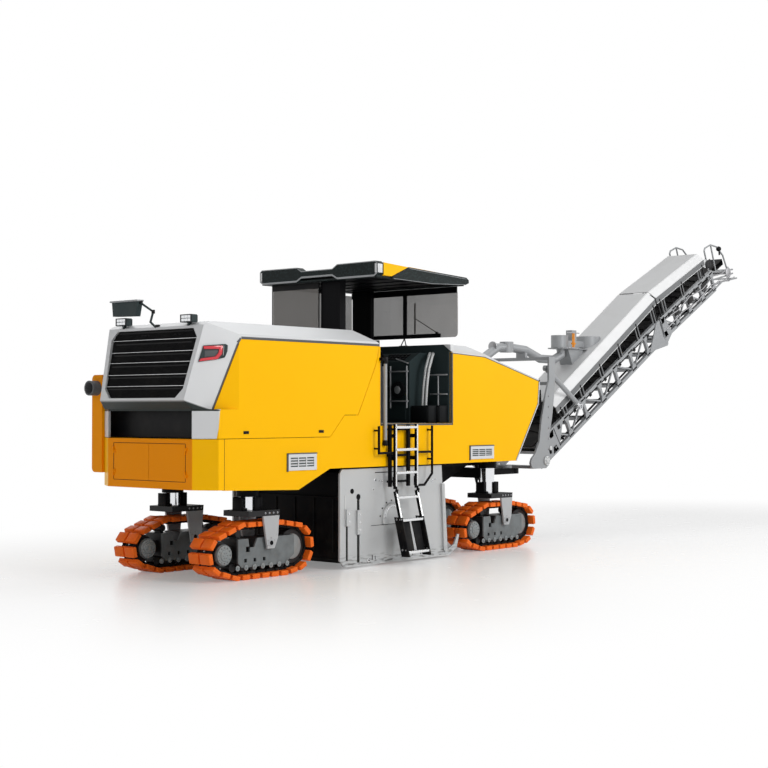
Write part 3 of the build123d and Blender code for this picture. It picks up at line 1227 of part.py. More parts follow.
def build():
    """Write every sub-part to its own file."""
    half = TRACK_GAUGE / 2
    nodes = {
        "main_frame": main_frame(),
        "column_sleeves": column_sleeves(),
        "engine": engine(),
        "hood_sides": hood_sides(),
        "hood_crown": hood_crown(),
        "grille": grille(),
        "hood_lamps": hood_lamps(),
        "rear_bumper": rear_bumper(),
        "bumper_door_right": bumper_door(-1),
        "bumper_door_left": bumper_door(1),
        "side_panels": side_panels(),
        "front_cover": front_cover(),
        "front_wall": front_wall(),
        "side_lamps": side_lamps(),
        "side_locker": side_locker(),
        "platform": platform(),
        "stand_fittings": stand_fittings(),
        "canopy_posts": canopy_posts(),
        "canopy_roof": canopy_roof(),
        "canopy_trim": canopy_trim(),
        "glazing": glazing(),
        "drum_housing": drum_housing(),
        "milling_drum": milling_drum(),
        "side_plate_right": side_plate(-1),
        "side_plate_left": side_plate(1),
        "scraper": scraper(),
        "primary_conveyor": primary_conveyor(),
        "conveyor_bracket": conveyor_bracket(),
        "slew_mast": slew_mast(),
        "lift_barrel_right": lift_barrel(-1),
        "lift_barrel_left": lift_barrel(1),
        "lift_rod_right": lift_rod(-1),
        "lift_rod_left": lift_rod(1),
        "suction_pipe": suction_pipe(),
        "suction_hose": suction_hose(),
        "suction_fan": suction_fan(),
        "discharge_frame": discharge_frame(),
        "discharge_cover": discharge_cover(),
        "discharge_belt": discharge_belt(),
        "head_frame": head_frame(),
        "head_cover": head_cover(),
        "head_belt": head_belt(),
        "upper_ladder": upper_ladder(),
        "lower_ladder": lower_ladder(),
    }
    for end, track in (("rear", REAR_TRACK), ("front", FRONT_TRACK)):
        for side, y in (("right", -half), ("left", half)):
            nodes[f"leg_{end}_{side}"] = leg(track, y)
            nodes[f"track_{end}_{side}"] = track_loop(track, y)
    os.makedirs("parts", exist_ok=True)
    for name, shape in nodes.items():
        export_step(shape, f"parts/{name}.step")


build()
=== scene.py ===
"""Looks of a four-track cold planer milling machine with a slewing discharge conveyor.

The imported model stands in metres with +X towards the conveyor's head, +Y to the machine's left and
+Z up. Each sub-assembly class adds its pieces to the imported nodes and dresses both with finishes.
"""

import logging
import math
from dataclasses import dataclass
from enum import Enum

import bmesh
import bpy
from mathutils import Matrix, Vector


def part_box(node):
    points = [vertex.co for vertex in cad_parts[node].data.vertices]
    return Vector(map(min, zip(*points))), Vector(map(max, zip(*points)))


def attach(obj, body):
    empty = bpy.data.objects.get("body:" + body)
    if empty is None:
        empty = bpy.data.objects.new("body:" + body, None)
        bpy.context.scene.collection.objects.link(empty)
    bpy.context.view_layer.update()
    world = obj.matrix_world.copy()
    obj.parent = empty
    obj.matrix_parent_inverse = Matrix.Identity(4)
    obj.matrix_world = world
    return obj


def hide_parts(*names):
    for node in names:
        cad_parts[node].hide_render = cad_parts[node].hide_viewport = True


LOG = logging.getLogger("planer")
REAR = -7.32  # X of the rear bumper's face
SIDE_FACE = 1.05  # half width of the painted sides
SIDE_SKIN = 1.0502  # half width just off their paint
FOOT_PIN = (7.9, 1.13)  # ahead and height of the pin at the discharge conveyor's foot
FOOT_ANGLE = 29.2
FOLD_REACH = 4.57  # from that pin to the one where the conveyor folds
HEAD_ANGLE = 27.3
LOWER_COVER = ((0.81, 0.955), (0.8, 4.56))  # cover's top at its ends, and their places along
HEAD_COVER = ((0.955, 0.87), (0.0, 2.0))


class Side(Enum):
    """The two sides of the machine, by the sign of Y."""

    RIGHT = -1
    LEFT = 1

    @property
    def word(self) -> str:
        """The side's name as pieces give it."""
        return self.name.lower()


class Slot(Enum):
    """Material slots of the record, passed along with each added piece."""

    SILVER = "silver_paint"
    BLACK = "black_paint"
    DARK = "dark_steel"
    GREY = "grey_steel"
    CONVEYOR = "conveyor_grey"
    LEG = "leg_grey"
    PADS = "track_pads"
    CHROME = "chrome"
    RUBBER = "belt_rubber"
    LAMP = "lamp_plastic"
    GRILLE = "black_grille"


Place = tuple[float, float, float]
Material = bpy.types.Material


def ahead(distance: float) -> float:
    """X of a place so far ahead of the rear bumper's face."""
    return REAR + distance


def point(distance: float, y: float, z: float) -> Place:
    """Place in the machine's frame, so far ahead of the rear bumper's face."""
    return ahead(distance), y, z


def ring(centre: Vector, radius: float, count: int) -> list[Vector]:
    """Places spread evenly round a circle that faces the machine's side."""
    angles = [math.radians(360 * index / count) for index in range(count)]
    return [centre + Vector((radius * math.cos(t), 0, radius * math.sin(t))) for t in angles]


def strip(start: tuple, end: tuple, near: float, far: float) -> list[tuple[float, float]]:
    """Outline of a strip beside a line, in side view.

    Args:
        start: place ahead and height of the line's first end.
        end: place ahead and height of its last end.
        near: distance from the line to the strip's first edge, to the left of its run.
        far: distance to its other edge.

    Returns:
        Place ahead and height of each corner.
    """
    run = Vector((end[0] - start[0], end[1] - start[1])).normalized()
    return [(a - run.y * out, z + run.x * out)
            for (a, z), out in ((start, near), (end, near), (end, far), (start, far))]


# ------------------------------------------------------------------ shader building
class Value:
    """A shader socket that takes part in Python arithmetic."""

    def __init__(self, tree: bpy.types.NodeTree, socket: bpy.types.NodeSocket) -> None:
        """Wrap one output socket of a node tree."""
        self.tree = tree
        self.socket = socket

    def math(self, operation: str, *others: "Value | float", first: float | None = None) -> "Value":
        """Add a Math node.

        Args:
            operation: the node's operation.
            others: its further inputs.
            first: a number to put before this value, for reflected operators.

        Returns:
            The node's result.
        """
        node = self.tree.nodes.new("ShaderNodeMath")
        node.operation = operation
        inputs = [self, *others] if first is None else [first, self]
        for socket, value in zip(node.inputs, inputs):
            if isinstance(value, Value):
                self.tree.links.new(value.socket, socket)
            else:
                socket.default_value = value
        return Value(self.tree, node.outputs[0])

    def __add__(self, other: "Value | float") -> "Value":
        """Sum of two values."""
        return self.math("ADD", other)

    __radd__ = __add__

    def __mul__(self, other: "Value | float") -> "Value":
        """Product of two values."""
        return self.math("MULTIPLY", other)

    __rmul__ = __mul__

    def __sub__(self, other: "Value | float") -> "Value":
        """Difference of two values."""
        return self.math("SUBTRACT", other)

    def __rsub__(self, other: float) -> "Value":
        """A number less this value."""
        return self.math("SUBTRACT", first=other)

    def __pow__(self, power: float) -> "Value":
        """Power of this value."""
        return self.math("POWER", power)

    def __abs__(self) -> "Value":
        """Distance from nought."""
        return self.math("ABSOLUTE")

    def above(self, edge: float, soft: float = 0.002) -> "Value":
        """Mask that rises from 0 to 1 as this value passes an edge."""
        node = self.tree.nodes.new("ShaderNodeMapRange")
        node.interpolation_type = "SMOOTHSTEP"
        for name, value in (("From Min", edge - soft), ("From Max", edge + soft)):
            node.inputs[name].default_value = value
        self.tree.links.new(self.socket, node.inputs["Value"])
        return Value(self.tree, node.outputs[0])


Colour = tuple[float, float, float]
YELLOW: Colour = (1.0, 0.52, 0.0)


class Shader:
    """One material's node tree, with short ways to add nodes to it."""

    def __init__(self, name: str) -> None:
        """Start a Principled material of the given name."""
        self.material = bpy.data.materials.new(name)
        self.material.use_nodes = True
        self.tree = self.material.node_tree
        self.surface = next(n for n in self.tree.nodes if n.type == "BSDF_PRINCIPLED")
        self.place = self.node("ShaderNodeTexCoord", output="Object")
        axes = self.node("ShaderNodeSeparateXYZ", inputs={"Vector": self.place}).socket.node
        self.x, self.y, self.z = (Value(self.tree, axes.outputs[i]) for i in range(3))

    def node(self, kind: str, settings: dict | None = None, inputs: dict | None = None,
             output: str | int = 0) -> Value:
        """Add a node.

        Args:
            kind: the node's type.
            settings: its properties, set before its sockets.
            inputs: values or links of its input sockets, by name or number.
            output: the output socket to return.

        Returns:
            The chosen output.
        """
        node = self.tree.nodes.new(kind)
        for name, value in (settings or {}).items():
            setattr(node, name, value)
        for name, value in (inputs or {}).items():
            socket = node.inputs[name]
            if isinstance(value, Value):
                self.tree.links.new(value.socket, socket)
            elif isinstance(value, tuple) and len(value) == 3 and socket.type == "RGBA":
                socket.default_value = (*value, 1.0)
            else:
                socket.default_value = value
        return Value(self.tree, node.outputs[output])

    def noise(self, scale: float, detail: float = 3.0, stretch: Colour = (1, 1, 1)) -> Value:
        """Noise on the object's own coordinates, from 0 to 1."""
        place = self.node("ShaderNodeMapping", inputs={"Vector": self.place, "Scale": stretch})
        return self.node("ShaderNodeTexNoise", inputs={"Vector": place, "Scale": scale, "Detail": detail})

    def spots(self, scale: float, low: float, high: float, detail: float = 4.0,
              stretch: Colour = (1, 1, 1)) -> Value:
        """Patches of noise between two thresholds, from 0 to 1."""
        return self.node("ShaderNodeMapRange", inputs={
            "Value": self.noise(scale, detail, stretch), "From Min": low, "From Max": high})

    def mix(self, factor: Value | float, first: Value | Colour, second: Value | Colour) -> Value:
        """Blend of two colours."""
        node = self.tree.nodes.new("ShaderNodeMix")
        node.data_type = "RGBA"
        for index, value in ((0, factor), (6, first), (7, second)):
            if isinstance(value, Value):
                self.tree.links.new(value.socket, node.inputs[index])
            else:
                node.inputs[index].default_value = (*value, 1.0) if isinstance(value, tuple) else value
        return Value(self.tree, node.outputs[2])

    def edges(self) -> Value:
        """Mask of convex edges, where a painted highlight goes."""
        point = self.node("ShaderNodeNewGeometry", output="Pointiness")
        return self.node("ShaderNodeMapRange", inputs={"Value": point, "From Min": 0.505, "From Max": 0.58})

    def bump(self, height: Value, strength: float, distance: float, normal: Value | None = None) -> Value:
        """Bump from a height, on top of another normal where one is given."""
        inputs = {"Height": height, "Strength": strength, "Distance": distance}
        if normal is not None:
            inputs["Normal"] = normal
        return self.node("ShaderNodeBump", inputs=inputs)

    def rounded(self, radius: float) -> Value:
        """Normal that rounds off edges."""
        return self.node("ShaderNodeBevel", {"samples": 4}, {"Radius": radius})

    def peel(self, radius: float = 0.006) -> Value:
        """Normal of sprayed paint: faint orange peel, and edges rounded off."""
        return self.bump(self.noise(260.0, 1.0), 0.03, 0.001, self.rounded(radius))

    def finish(self, **sockets: Value | Colour | float) -> Material:
        """Set or link the surface's sockets, named with underscores, and return the material."""
        for name, value in sockets.items():
            socket = self.surface.inputs[name.replace("_", " ")]
            if isinstance(value, Value):
                self.tree.links.new(value.socket, socket)
            elif isinstance(value, tuple):
                socket.default_value = (*value, 1.0)
            else:
                socket.default_value = value
        return self.material


@dataclass(frozen=True)
class Paint:
    """Sprayed paint over steel, with faint orange peel and dust that gathers low down."""

    name: str
    colour: Colour
    roughness: float = 0.32
    coat: float = 0.35
    metallic: float = 0.0
    dust: Colour = (0.32, 0.28, 0.23)
    dust_top: float = 1.4
    dust_share: float = 0.25
    round: float = 0.006
    gloss: float = 0.18

    def make(self) -> Material:
        """Build the material."""
        shader = Shader(self.name)
        tone = shader.noise(0.9, 2.0)
        deep = tuple(c * 0.93 for c in self.colour)
        colour = shader.mix(tone, deep, self.colour)
        low = 1 - shader.z.above(self.dust_top / 2, self.dust_top / 2)
        dust = shader.spots(5.0, 0.42, 0.75) * low * self.dust_share
        normal = shader.peel(self.round)
        return shader.finish(
            Base_Color=shader.mix(dust, colour, self.dust), Metallic=self.metallic,
            Roughness=shader.noise(3.0) * 0.08 + (self.roughness - 0.04) + dust * 0.4,
            Coat_Weight=self.coat * 0.2, Coat_Roughness=0.12, Specular_IOR_Level=self.gloss, Normal=normal)


@dataclass(frozen=True)
class Steel:
    """Bare or plated metal with drawn scratches and stains."""

    name: str
    colour: Colour
    roughness: float = 0.3
    metallic: float = 1.0
    stain: Colour = (0.12, 0.11, 0.1)
    stain_share: float = 0.2
    grain: Colour = (1, 1, 14)
    round: float = 0.003

    def make(self) -> Material:
        """Build the material."""
        shader = Shader(self.name)
        stain = shader.spots(3.0, 0.5, 0.85) * self.stain_share
        streak = shader.noise(30.0, 4.0, self.grain)
        colour = shader.mix(stain, self.colour, self.stain)
        return shader.finish(
            Base_Color=shader.mix(streak * 0.25, colour, tuple(c * 0.8 for c in self.colour)),
            Metallic=self.metallic, Roughness=streak * 0.14 + (self.roughness - 0.07) + stain * 0.3,
            Normal=shader.bump(streak, 0.06, 0.001, shader.rounded(self.round)))


@dataclass(frozen=True)
class Moulded:
    """Rubber or moulded plastic with a fine grain."""

    name: str
    colour: Colour
    roughness: float = 0.6
    grain: float = 300.0
    depth: float = 0.25
    dust_share: float = 0.15
    dust: Colour = (0.3, 0.27, 0.23)
    round: float = 0.005

    def make(self) -> Material:
        """Build the material."""
        shader = Shader(self.name)
        dust = shader.spots(4.0, 0.45, 0.8) * self.dust_share
        tone = shader.noise(2.0)
        colour = shader.mix(tone, tuple(c * 0.85 for c in self.colour), self.colour)
        normal = shader.bump(shader.noise(self.grain, 2.0), self.depth, 0.0015, shader.rounded(self.round))
        return shader.finish(
            Base_Color=shader.mix(dust, colour, self.dust),
            Roughness=shader.noise(6.0) * 0.1 + (self.roughness - 0.05) + dust * 0.3,
            Specular_IOR_Level=0.12, Normal=normal)


@dataclass(frozen=True)
class Glass:
    """Smoked flat glass, seen from both sides as a thin grey sheet."""

    name: str
    colour: Colour = (0.16, 0.145, 0.13)
    clear: float = 0.42

    def make(self) -> Material:
        """Build the material."""
        shader = Shader(self.name)
        smear = shader.spots(1.6, 0.4, 0.8, 3.0, (1, 1, 0.3))
        colour = shader.mix(smear * 0.4, self.colour, tuple(c * 1.5 for c in self.colour))
        return shader.finish(
            Base_Color=colour, Roughness=smear * 0.05 + 0.04, Alpha=smear * 0.1 + (1 - self.clear),
            Coat_Weight=0.4, Coat_Roughness=0.03)


@dataclass(frozen=True)
class Lamp:
    """Moulded lamp lens with close ribs, a little bright of itself."""

    name: str
    colour: Colour
    glow: float

    def make(self) -> Material:
        """Build the material."""
        shader = Shader(self.name)
        ribs = shader.node("ShaderNodeTexVoronoi", inputs={"Vector": shader.place, "Scale": 60.0})
        colour = shader.mix(ribs, tuple(c * 0.82 for c in self.colour), self.colour)
        return shader.finish(
            Base_Color=colour, Roughness=ribs * 0.1 + 0.12, Emission_Color=colour,
                             Emission_Strength=self.glow,
            Coat_Weight=0.5, Normal=shader.bump(ribs, 0.3, 0.002))


# ------------------------------------------------------------------ mesh building
class Form:
    """A mesh under construction, put together from parts made with bmesh operators."""

    def __init__(self) -> None:
        """Start an empty form."""
        self.bm = bmesh.new()

    def absorb(self, part: bmesh.types.BMesh) -> "Form":
        """Add a finished part to the form and free it."""
        mesh = bpy.data.meshes.new("part")
        part.to_mesh(mesh)
        part.free()
        self.bm.from_mesh(mesh)
        bpy.data.meshes.remove(mesh)
        return self

    def soften(self, part: bmesh.types.BMesh, width: float, segments: int = 2) -> None:
        """Bevel all of a part's sharp edges."""
        if width <= 0:
            return
        sharp = [e for e in part.edges if len(e.link_faces) == 2 and e.calc_face_angle(0) > 0.5]
        bmesh.ops.bevel(part, geom=sharp, offset=width, segments=segments, affect="EDGES", profile=0.5,
                        material=-1, clamp_overlap=True)

    def box(self, low: Vector | tuple, high: Vector | tuple, bevel: float = 0.0, segments: int = 2,
            turn: Matrix | None = None) -> "Form":
        """Add a box between two corners.

        Args:
            low: lowest corner.
            high: highest corner.
            bevel: width of its rounded edges.
            segments: steps across each rounding.
            turn: transform applied about the origin afterwards.

        Returns:
            The form.
        """
        part = bmesh.new()
        low, high = Vector(low), Vector(high)
        size = Matrix.Diagonal((*(high - low), 1.0))
        bmesh.ops.create_cube(part, size=1.0, matrix=Matrix.Translation((low + high) / 2) @ size)
        self.soften(part, bevel, segments)
        if turn is not None:
            part.transform(turn)
        return self.absorb(part)

    def rod(self, start: Vector | tuple, end: Vector | tuple, radius: float, sides: int = 16,
            bevel: float = 0.0, tip: float | None = None) -> "Form":
        """Add a round bar or cone between two places.

        Args:
            start: middle of its first end.
            end: middle of its last end.
            radius: radius of its first end.
            sides: facets round it.
            bevel: width of the rounding of its ends.
            tip: radius of its last end, where that differs.

        Returns:
            The form.
        """
        start, end = Vector(start), Vector(end)
        along = end - start
        part = bmesh.new()
        turn = along.to_track_quat("Z", "Y").to_matrix().to_4x4()
        place = Matrix.Translation((start + end) / 2) @ turn
        bmesh.ops.create_cone(part, cap_ends=True, segments=sides, radius1=radius,
                              radius2=radius if tip is None else tip, depth=along.length, matrix=place)
        if bevel:
            rims = [e for e in part.edges if any(len(f.verts) > 4 for f in e.link_faces)]
            bmesh.ops.bevel(part, geom=rims, offset=bevel, segments=2, affect="EDGES", profile=0.5,
                            material=-1, clamp_overlap=True)
        return self.absorb(part)

    def slab(self, outline: list[tuple], push: Vector | tuple, bevel: float = 0.0,
             segments: int = 2) -> "Form":
        """Add a flat outline pushed out into a plate.

        Args:
            outline: its corners in space.
            push: the way and distance it is pushed.
            bevel: width of its rounded edges.
            segments: steps across each rounding.

        Returns:
            The form.
        """
        part = bmesh.new()
        face = part.faces.new([part.verts.new(p) for p in outline])
        pushed = bmesh.ops.extrude_face_region(part, geom=[face])["geom"]
        moved = [v for v in pushed if isinstance(v, bmesh.types.BMVert)]
        bmesh.ops.translate(part, verts=moved, vec=Vector(push))
        bmesh.ops.recalc_face_normals(part, faces=part.faces[:])
        self.soften(part, bevel, segments)
        return self.absorb(part)

    def path(self, places: list[tuple], radius: float, sides: int = 12) -> "Form":
        """Add a round bar through a row of places, with a ball at each bend."""
        for start, end in zip(places, places[1:]):
            self.rod(start, end, radius, sides)
        for place in places[1:-1]:
            self.ball(place, radius)
        return self

    def ball(self, place: Vector | tuple, radius: float, detail: int = 2) -> "Form":
        """Add a ball."""
        part = bmesh.new()
        bmesh.ops.create_icosphere(part, subdivisions=detail, radius=radius, matrix=Matrix.Translation(place))
        return self.absorb(part)

    def bolts(self, places: list[tuple], out: Vector | tuple, radius: float = 0.012,
              rise: float = 0.008) -> "Form":
        """Add six-sided bolt heads on washers, standing out one way."""
        out = Vector(out).normalized()
        for place in places:
            base = Vector(place)
            self.rod(base - out * 0.002, base + out * rise * 0.3, radius * 1.5, 12)
            self.rod(base, base + out * rise, radius, 6)
        return self

    def moved(self, turn: Matrix) -> "Form":
        """Transform the whole form."""
        self.bm.transform(turn)
        return self

    def piece(self, name: str, body: str, material: Material, slot: Slot) -> bpy.types.Object:
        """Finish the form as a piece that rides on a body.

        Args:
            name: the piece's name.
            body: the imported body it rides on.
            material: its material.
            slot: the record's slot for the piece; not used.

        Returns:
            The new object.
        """
        mesh = bpy.data.meshes.new(name)
        self.bm.to_mesh(mesh)
        self.bm.free()
        mesh.materials.append(material)
        thing = bpy.data.objects.new(name, mesh)
        bpy.context.scene.collection.objects.link(thing)
        for polygon in mesh.polygons:
            polygon.use_smooth = True
        mesh.set_sharp_from_angle(angle=math.radians(38))
        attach(thing, body)
        LOG.info("%s: %d faces on %s", name, len(mesh.polygons), body)
        return thing


def dress(node: str, material: Material) -> None:
    """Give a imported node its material."""
    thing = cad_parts[node]
    for slot in thing.material_slots:
        slot.link = "OBJECT"
        slot.material = material


# ------------------------------------------------------------------ finishes
class Finishes:
    """All the materials of the machine, each built once."""

    def __init__(self) -> None:
        """Build every finish."""
        self.yellow = Paint("body_yellow", YELLOW, 0.34, 0.1, dust_share=0.03, gloss=0.08).make()
        self.bumper = self.bumper_paint()
        self.locker = self.locker_paint()
        self.silver = Paint("shroud_silver", (0.66, 0.67, 0.68), 0.4, 0.2, 0.15, dust_share=0.1).make()
        self.crown = self.crown_paint()
        self.cover = Paint("cover_silver", (0.8, 0.81, 0.81), 0.42, 0.1, 0.1, dust_share=0.1).make()
        self.black = Paint("satin_black", (0.004, 0.004, 0.005), 0.38, 0.0, dust_share=0.06,
                           gloss=0.05).make()
        self.dark = Paint("chassis_dark", (0.008, 0.009, 0.01), 0.45, 0.0, dust_share=0.08,
                          gloss=0.06).make()
        self.bay = Paint("bay_green_grey", (0.026, 0.038, 0.04), 0.45, 0.0, dust_share=0.05,
                         gloss=0.08).make()
        self.conveyor = Paint("conveyor_grey", (0.33, 0.34, 0.35), 0.4, 0.15, 0.25, dust_share=0.1).make()
        self.hub = Paint("hub_grey", (0.25, 0.27, 0.275), 0.4, 0.1, 0.1).make()
        self.pale = Paint("pale_grey", (0.62, 0.63, 0.63), 0.4, 0.15, 0.1).make()
        self.groove = Paint("groove_grey", (0.1, 0.105, 0.11), 0.55, 0.0).make()
        self.line = Paint("seam_brown", (0.16, 0.05, 0.004), 0.6, 0.0).make()
        self.plate = self.scuffed_plate()
        self.chrome = Steel("hard_chrome", (0.78, 0.79, 0.81), 0.12, 1.0).make()
        self.bright = Steel("bright_steel", (0.75, 0.76, 0.77), 0.24, 0.9, stain_share=0.1).make()
        self.steel = Steel("machined_steel", (0.33, 0.33, 0.34), 0.38).make()
        self.tool = Steel("cutting_steel", (0.16, 0.15, 0.14), 0.5, 0.8, (0.12, 0.05, 0.02), 0.5).make()
        self.orange = self.pad_rubber()
        self.rubber = Moulded("belt_rubber", (0.008, 0.008, 0.009), 0.7, dust_share=0.08).make()
        self.plastic = Moulded("black_plastic", (0.005, 0.005, 0.006), 0.42, 500.0, 0.15, 0.03).make()
        self.housing = Moulded("lamp_housing", (0.035, 0.05, 0.052), 0.4, 400.0, 0.12, 0.05).make()
        self.roof = self.roof_moulding()
        self.seat = Moulded("seat_vinyl", (0.014, 0.014, 0.015), 0.55, 140.0, 0.4, 0.05).make()
        self.glass = Glass("smoked_glass").make()
        self.lens_red = Lamp("red_lens", (0.62, 0.02, 0.035), 0.12).make()
        self.lens_white = Lamp("white_lens", (0.86, 0.88, 0.9), 0.35).make()
        self.orange_band = Paint("orange_band", (0.8, 0.28, 0.01), 0.4, 0.2).make()

    @staticmethod
    def bumper_paint() -> Material:
        """Main colour on the corners, and painted shade on the flat rear face: a deeper amber."""
        shader = Shader("bumper_painted_shade")
        # Painted shade: the flat rear face, which faces away from the light, takes a deeper amber.
        rear = 1 - shader.x.above(REAR + 0.004, 0.003)
        tone = shader.noise(0.9, 2.0)
        painted_shade_amber = shader.mix(tone, (0.9, 0.285, 0.0), (0.96, 0.315, 0.0))
        dust = shader.spots(5.0, 0.45, 0.8) * 0.01
        normal = shader.peel()
        colour = shader.mix(dust, shader.mix(rear, YELLOW, painted_shade_amber), (0.32, 0.28, 0.23))
        return shader.finish(Base_Color=colour, Roughness=shader.noise(3.0) * 0.08 + 0.32,
                             Coat_Weight=0.02, Coat_Roughness=0.12, Specular_IOR_Level=0.07, Normal=normal)

    @staticmethod
    def crown_paint() -> Material:
        """Silver on the hood's top and surround, and painted shade in greenish black on the undercut below
        its lip.
        """
        shader = Shader("crown_silver_painted_shade")
        # Painted shade: the undercut below the lip, which lies in shadow, is greenish black.
        line = shader.z - 2.184 + (shader.x - (REAR - 0.13)) * 0.36
        under = (1 - line.above(0.0, 0.012)) * shader.z.above(2.0585, 0.001)
        tone = shader.noise(0.9, 2.0)
        silver = shader.mix(tone, (0.6, 0.61, 0.62), (0.68, 0.69, 0.7))
        normal = shader.peel(0.008)
        return shader.finish(
            Base_Color=shader.mix(under, silver, (0.006, 0.012, 0.01)), Metallic=0.12,
            Roughness=shader.noise(3.0) * 0.08 + 0.36, Coat_Weight=0.06, Specular_IOR_Level=0.3,
                             Normal=normal)

    @staticmethod
    def cover_with_painted_light(name: str, origin: tuple, angle: float, rise: tuple, reach: tuple) -> Material:
        """Silver sheet: grey along its flat top, painted light in white on its sloped shoulders, painted
        shade in dark grey on its skirts.

        Args:
            name: the section's name.
            origin: place ahead and height of the section's own frame.
            angle: its slope in degrees.
            rise: height of the cover's top at its ends.
            reach: places along of those ends.

        Returns:
            The material.
        """
        shader = Shader(f"{name}_cover_silver")
        turn, slope = math.radians(angle), (rise[1] - rise[0]) / (reach[1] - reach[0])
        x, z = shader.x - ahead(origin[0]), shader.z - origin[1]
        along, up = x * math.cos(turn) + z * math.sin(turn), z * math.cos(turn) - x * math.sin(turn)
        drop = (along - reach[0]) * slope + rise[0] - up
        tone = shader.noise(0.9, 2.0)
        colour = shader.mix(tone, (0.5, 0.505, 0.51), (0.56, 0.565, 0.57))
        # Painted light and shade: white where the shoulders slope, dark grey on the skirts below them.
        colour = shader.mix(drop.above(0.006, 0.003), colour, (0.84, 0.845, 0.85))
        colour = shader.mix(drop.above(0.124, 0.003), colour, (0.17, 0.175, 0.18))
        dust = shader.spots(4.0, 0.5, 0.85, 4.0) * 0.12
        normal = shader.peel()
        return shader.finish(Base_Color=shader.mix(dust, colour, (0.4, 0.385, 0.36)), Metallic=0.1,
                             Roughness=tone * 0.1 + 0.36 + dust, Coat_Weight=0.03, Specular_IOR_Level=0.18,
                             Normal=normal)

    @staticmethod
    def locker_paint() -> Material:
        """Main colour, amber painted shade on the end that faces the rear, dark grey on the intake stub."""
        shader = Shader("locker_yellow_painted_shade")
        # Painted shade: the end that faces the rear takes amber.
        end = 1 - shader.x.above(REAR + 0.16, 0.01)
        stub = 1 - shader.x.above(REAR + 0.128, 0.002)
        painted_shade_amber = shader.mix(shader.noise(0.9, 2.0), (0.9, 0.3, 0.001), (0.96, 0.33, 0.001))
        colour = shader.mix(stub, shader.mix(end, YELLOW, painted_shade_amber), (0.13, 0.135, 0.14))
        normal = shader.peel()
        return shader.finish(Base_Color=colour, Roughness=shader.noise(3.0) * 0.08 + 0.34,
                             Coat_Weight=0.02, Coat_Roughness=0.12, Specular_IOR_Level=0.07, Normal=normal)

    @staticmethod
    def scuffed_plate() -> Material:
        """Silver paint worn by the ground: scratched and blotched, and rubbed bare along its foot."""
        shader = Shader("side_plate_silver")
        foot = 1 - shader.z.above(0.13, 0.1)
        scratch = shader.spots(5.0, 0.58, 0.66, 5.0, (1, 1, 2))
        cloud = shader.noise(1.3, 3.0)
        rub = shader.spots(14.0, 0.5, 0.6, 5.0, (0.5, 1, 3)) * foot
        colour = shader.mix(cloud, (0.43, 0.44, 0.445), (0.52, 0.53, 0.535))
        colour = shader.mix(scratch * 0.12, colour, (0.36, 0.365, 0.37))
        colour = shader.mix(rub, colour, (0.17, 0.165, 0.16))
        normal = shader.bump(shader.noise(120.0, 3.0), 0.05, 0.001, shader.rounded(0.005))
        return shader.finish(Base_Color=colour, Metallic=0.25, Roughness=cloud * 0.15 + 0.36 + rub * 0.2,
                             Coat_Weight=0.1, Normal=normal)

    @staticmethod
    def pad_rubber() -> Material:
        """Orange pads: lighter on their ends, deeper and dusty over their faces, with a painted highlight
        along the edges.
        """
        shader = Shader("track_orange")
        # Painted highlight: convex edges are lightened towards bright orange.
        edge_highlight = shader.edges()
        tone = shader.noise(7.0, 3.0)
        colour = shader.mix(tone, (0.7, 0.062, 0.003), (0.84, 0.1, 0.004))
        colour = shader.mix(edge_highlight * 0.35, colour, (1.0, 0.28, 0.02))
        dust = shader.spots(6.0, 0.5, 0.8) * 0.1
        normal = shader.bump(shader.noise(90.0, 3.0), 0.15, 0.002, shader.rounded(0.006))
        return shader.finish(Base_Color=shader.mix(dust, colour, (0.3, 0.16, 0.1)),
                             Roughness=tone * 0.2 + 0.45, Specular_IOR_Level=0.2, Normal=normal)

    @staticmethod
    def roof_moulding() -> Material:
        """Dark textured moulding with a close pattern of small dimples."""
        shader = Shader("roof_moulding")
        cells = shader.node("ShaderNodeTexVoronoi", inputs={"Vector": shader.place, "Scale": 42.0})
        dimple = shader.node("ShaderNodeMapRange", inputs={"Value": cells, "From Min": 0.1, "From Max": 0.45})
        colour = shader.mix(dimple, (0.02, 0.036, 0.037), (0.006, 0.01, 0.01))
        return shader.finish(Base_Color=colour, Roughness=dimple * 0.15 + 0.36, Specular_IOR_Level=0.15,
                             Normal=shader.bump(dimple, 0.3, 0.003, shader.rounded(0.006)))


